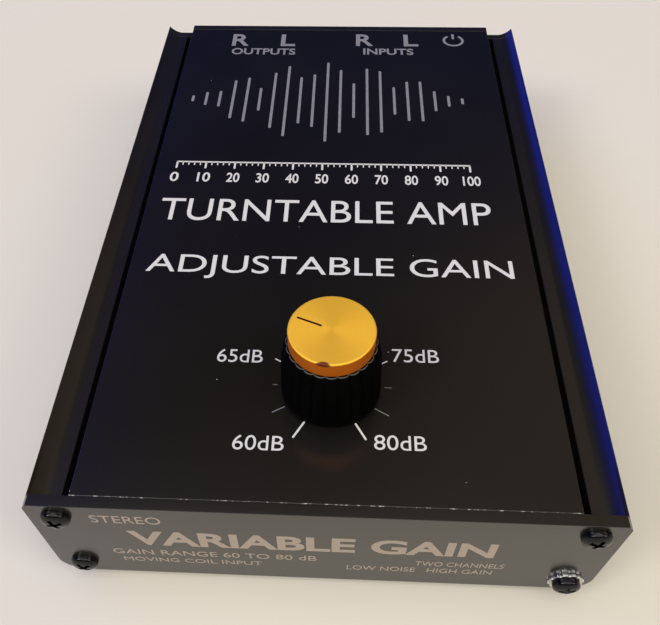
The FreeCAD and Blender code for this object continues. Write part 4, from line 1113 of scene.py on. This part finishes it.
    def thumb_nut(self):
        """The knurled nut: ridges round a turned body with a plain shoulder."""
        low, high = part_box("ground_thumb_nut")
        radius = (high.x - low.x) / 2
        ridges = 36
        per_ridge = 4
        knurl_depth = 0.3 * mm
        bore = 2.05 * mm
        levels = [(0, radius - 0.9 * mm, 0), (0.95 * mm, radius - 0.9 * mm, 0),
                  (1.05 * mm, radius - 0.25 * mm, 1), (1.35 * mm, radius, 1),
                  (high.y - low.y - 0.35 * mm, radius, 1), (high.y - low.y, radius - 0.4 * mm, 0)]
        mesh = bmesh.new()
        loops = []
        for height, reach, knurl in levels:
            ring = ring_at(mesh, reach, ridges * per_ridge, height)
            for corner in ring[::per_ridge]:
                corner.co.xy *= (reach - knurl_depth * knurl) / reach
            loops.append(ring)
        loops += [ring_at(mesh, bore, ridges * per_ridge, height) for height in (high.y - low.y, 0)]
        bridged(mesh, loops + loops[:1])
        bmesh.ops.recalc_face_normals(mesh, faces=mesh.faces)
        return put(mesh, rearward((low.x + high.x) / 2, low.y, socket_z))


class PREAMP_OT_inside(bpy.types.Operator):
    """Gives every inner piece its finish"""

    bl_idname = "preamp.inside"
    bl_label = "Finish inside"

    def execute(self, context):
        brass = plated_metal("Turned brass bush", "#c9a24f", 0.3, 0.3 * mm)
        steel = plated_metal("Bright steel", "#b4b3b0", 0.28, 0.3 * mm)
        tin = plated_metal("Tinned legs", "#b9b7b0", 0.35, 0.4 * mm)
        black = moulded("Moulded black epoxy", srgb("#131315"), 0.55, 0.3 * mm)
        finishes = {
            "knob_bush": brass, "knob_set_screw": black_zinc(srgb("#0b0b0e")),
            "potentiometer_housing": moulded("Moulded green polyester", srgb("#2b4a3a"), 0.5, 0.4 * mm),
            "potentiometer_bushing": plated_metal("Nickel-plated bushing", "#c9c3b6", 0.25, 0.3 * mm),
            "potentiometer_shaft": steel, "potentiometer_lock_washer": steel, "potentiometer_nut": steel,
            "potentiometer_rotors": moulded("Moulded cream acetal", srgb("#cfc8b4"), 0.45, 0.4 * mm),
            "potentiometer_wafers": moulded("Brown track wafer", srgb("#53361c"), 0.6, 0.3 * mm),
            "potentiometer_terminals": tin, "circuit_board": board_laminate(),
            "chip_sockets": moulded("Moulded socket polyester", srgb("#1a1a1c"), 0.5, 0.3 * mm),
            "amplifier_chips": black, "power_converter": black,
            "electrolytic_capacitors": moulded("Shrunk capacitor sleeve", srgb("#15203c"), 0.3, 0.8 * mm),
            "film_capacitors": moulded("Dipped red epoxy", srgb("#8e1f16"), 0.25, 0.8 * mm),
            "resistors": banded_lacquer(),
            "signal_wires": moulded("White wire vinyl", srgb("#d6d4cc"), 0.45, 0.6 * mm),
            "return_wires": moulded("Black wire vinyl", srgb("#141414"), 0.45, 0.6 * mm),
            "power_wires": moulded("Red wire vinyl", srgb("#a01a18"), 0.45, 0.6 * mm),
            "ground_wire": moulded("Green wire vinyl", srgb("#1f6a35"), 0.45, 0.6 * mm),
        }
        for node, material in finishes.items():
            dress(node, material)
        return {"FINISHED"}


class PREAMP_OT_stage(bpy.types.Operator):
    """Sets the floor, the lamps, the surroundings and the camera"""

    bl_idname = "preamp.stage"
    bl_label = "Set stage"

    def execute(self, context):
        look = context.scene.preamp_stage
        disc = bmesh.new()
        bmesh.ops.create_circle(disc, cap_ends=True, radius=look.floor_radius, segments=96)
        floor = as_object("floor", disc)
        floor.data.materials.append(table_top(list(look.floor)))
        self.surroundings(context.scene, list(look.floor))
        lamps = [("overhead light", (-0.1, -0.35, 1.0), 75, 2.28, (1.0, 0.99, 0.96)),
                 ("left light", (-0.8, -0.45, 0.8), 20, 0.7, (1.0, 0.99, 0.97)),
                 ("right light", (0.9, -0.4, 0.8), 26, 0.6, (1.0, 0.98, 0.93))]
        for name, place, spread, strength, tint in lamps:
            lamp = bpy.data.lights.new(name, "SUN")
            lamp.angle = math.radians(spread)
            lamp.energy = strength * look.light
            lamp.color = tint
            holder = bpy.data.objects.new(name, lamp)
            holder.location = place
            holder.rotation_euler = (-Vector(place)).to_track_quat("-Z", "Y").to_euler()
            context.scene.collection.objects.link(holder)
        self.camera(context.scene, look.focal)
        context.scene.view_settings.view_transform = "Standard"
        return {"FINISHED"}

    def surroundings(self, scene, horizon):
        """A dim room: warm in front and at the right, bluish behind, with the blue glow of a screen low at
        the left and a pale horizon in front. The camera sees a plain pale backdrop.
        """
        world = bpy.data.worlds.new("Dim room")
        world.use_nodes = True
        tree = world.node_tree
        direction = add_node(tree, "ShaderNodeTexCoord", {}).outputs["Generated"]
        parts = add_node(tree, "ShaderNodeSeparateXYZ", {"Vector": direction}).outputs

        def rise(value, start, end):
            """A soft step from zero at start to one at end."""
            return spread(tree, value, 0.0, 1.0, start, end, "SMOOTHSTEP")

        dim_left, warm_right = (0.06, 0.043, 0.026, 1), (0.26, 0.19, 0.13, 1)
        bluish, screen_low, screen_high = (0.009, 0.02, 0.1, 1), (0.03, 0.1, 2.0, 1), (0.005, 0.02, 0.4, 1)
        warm = blend(tree, rise(parts["X"], 0.0, 0.25), dim_left, warm_right)
        room = blend(tree, rise(parts["Y"], 0.55, 0.85), warm, bluish)
        toward = add_node(tree, "ShaderNodeVectorMath", {0: direction, 1: (-0.72, 0.6, 0.35)},
                          operation="DOT_PRODUCT").outputs["Value"]
        glow = rise(toward, 0.5, 0.95)
        for value, start, end in ((parts["X"], -0.22, -0.5), (parts["Z"], 0.08, 0.2)):
            glow = combine(tree, "MULTIPLY", glow, rise(value, start, end))
        lit = blend(tree, glow, room, blend(tree, rise(parts["Z"], 0.2, 0.8), screen_low, screen_high))
        pale = combine(tree, "MULTIPLY", rise(parts["Z"], 0.16, 0.03), rise(parts["Y"], 0.35, 0.1))
        camera_ray = add_node(tree, "ShaderNodeLightPath", {}).outputs["Is Camera Ray"]
        sky = blend(tree, combine(tree, "MAXIMUM", pale, camera_ray), lit, horizon)
        feed(tree, tree.nodes["Background"], {"Color": sky})
        scene.world = world

    def camera(self, scene, focal):
        """The photograph's view: from above the front edge, a little to the right."""
        lens = bpy.data.cameras.new("Photograph view")
        lens.sensor_width = 36.0
        lens.lens = focal
        lens.shift_x = 0.03894
        lens.shift_y = 0.04773
        lens.clip_start = 0.005
        holder = bpy.data.objects.new("Photograph view", lens)
        holder.location = (1.685 * mm, -141.214 * mm, 151.1 * mm)
        holder.rotation_euler = [math.radians(angle) for angle in (37.793, 1.0588, 2.7213)]
        scene.collection.objects.link(holder)
        scene.camera = holder


class PREAMP_PT_panel(bpy.types.Panel):
    """Lists the steps that build the preamp"""

    bl_idname = "PREAMP_PT_panel"
    bl_label = "Phono preamp"
    bl_space_type = "VIEW_3D"
    bl_region_type = "UI"
    bl_category = "Preamp"

    def draw(self, context):
        for operator in operators:
            self.layout.operator(operator.bl_idname)
        for name, look in looks.items():
            box = self.layout.box()
            box.label(text=look.__doc__)
            for field in look.__annotations__:
                box.prop(getattr(context.scene, name), field)


looks = {"preamp_case": CaseLook, "preamp_screws": ScrewLook, "preamp_knob": KnobLook,
         "preamp_legends": LegendLook, "preamp_stage": StageLook}
operators = [PREAMP_OT_case, PREAMP_OT_screws, PREAMP_OT_knob, PREAMP_OT_legends, PREAMP_OT_sockets,
             PREAMP_OT_inside, PREAMP_OT_stage]


def register():
    """Registers the looks, the operators and the panel."""
    for item in list(looks.values()) + operators + [PREAMP_PT_panel]:
        bpy.utils.register_class(item)
    for name, look in looks.items():
        setattr(bpy.types.Scene, name, PointerProperty(type=look))


def unregister():
    """Takes them away again."""
    for name in looks:
        delattr(bpy.types.Scene, name)
    for item in [PREAMP_PT_panel] + operators[::-1] + list(looks.values())[::-1]:
        bpy.utils.unregister_class(item)


def main():
    """Builds everything."""
    register()
    bpy.ops.preamp.case()
    bpy.ops.preamp.screws()
    bpy.ops.preamp.knob()
    bpy.ops.preamp.legends()
    bpy.ops.preamp.sockets()
    bpy.ops.preamp.inside()
    bpy.ops.preamp.stage()


if __name__ == "__main__":
    main()
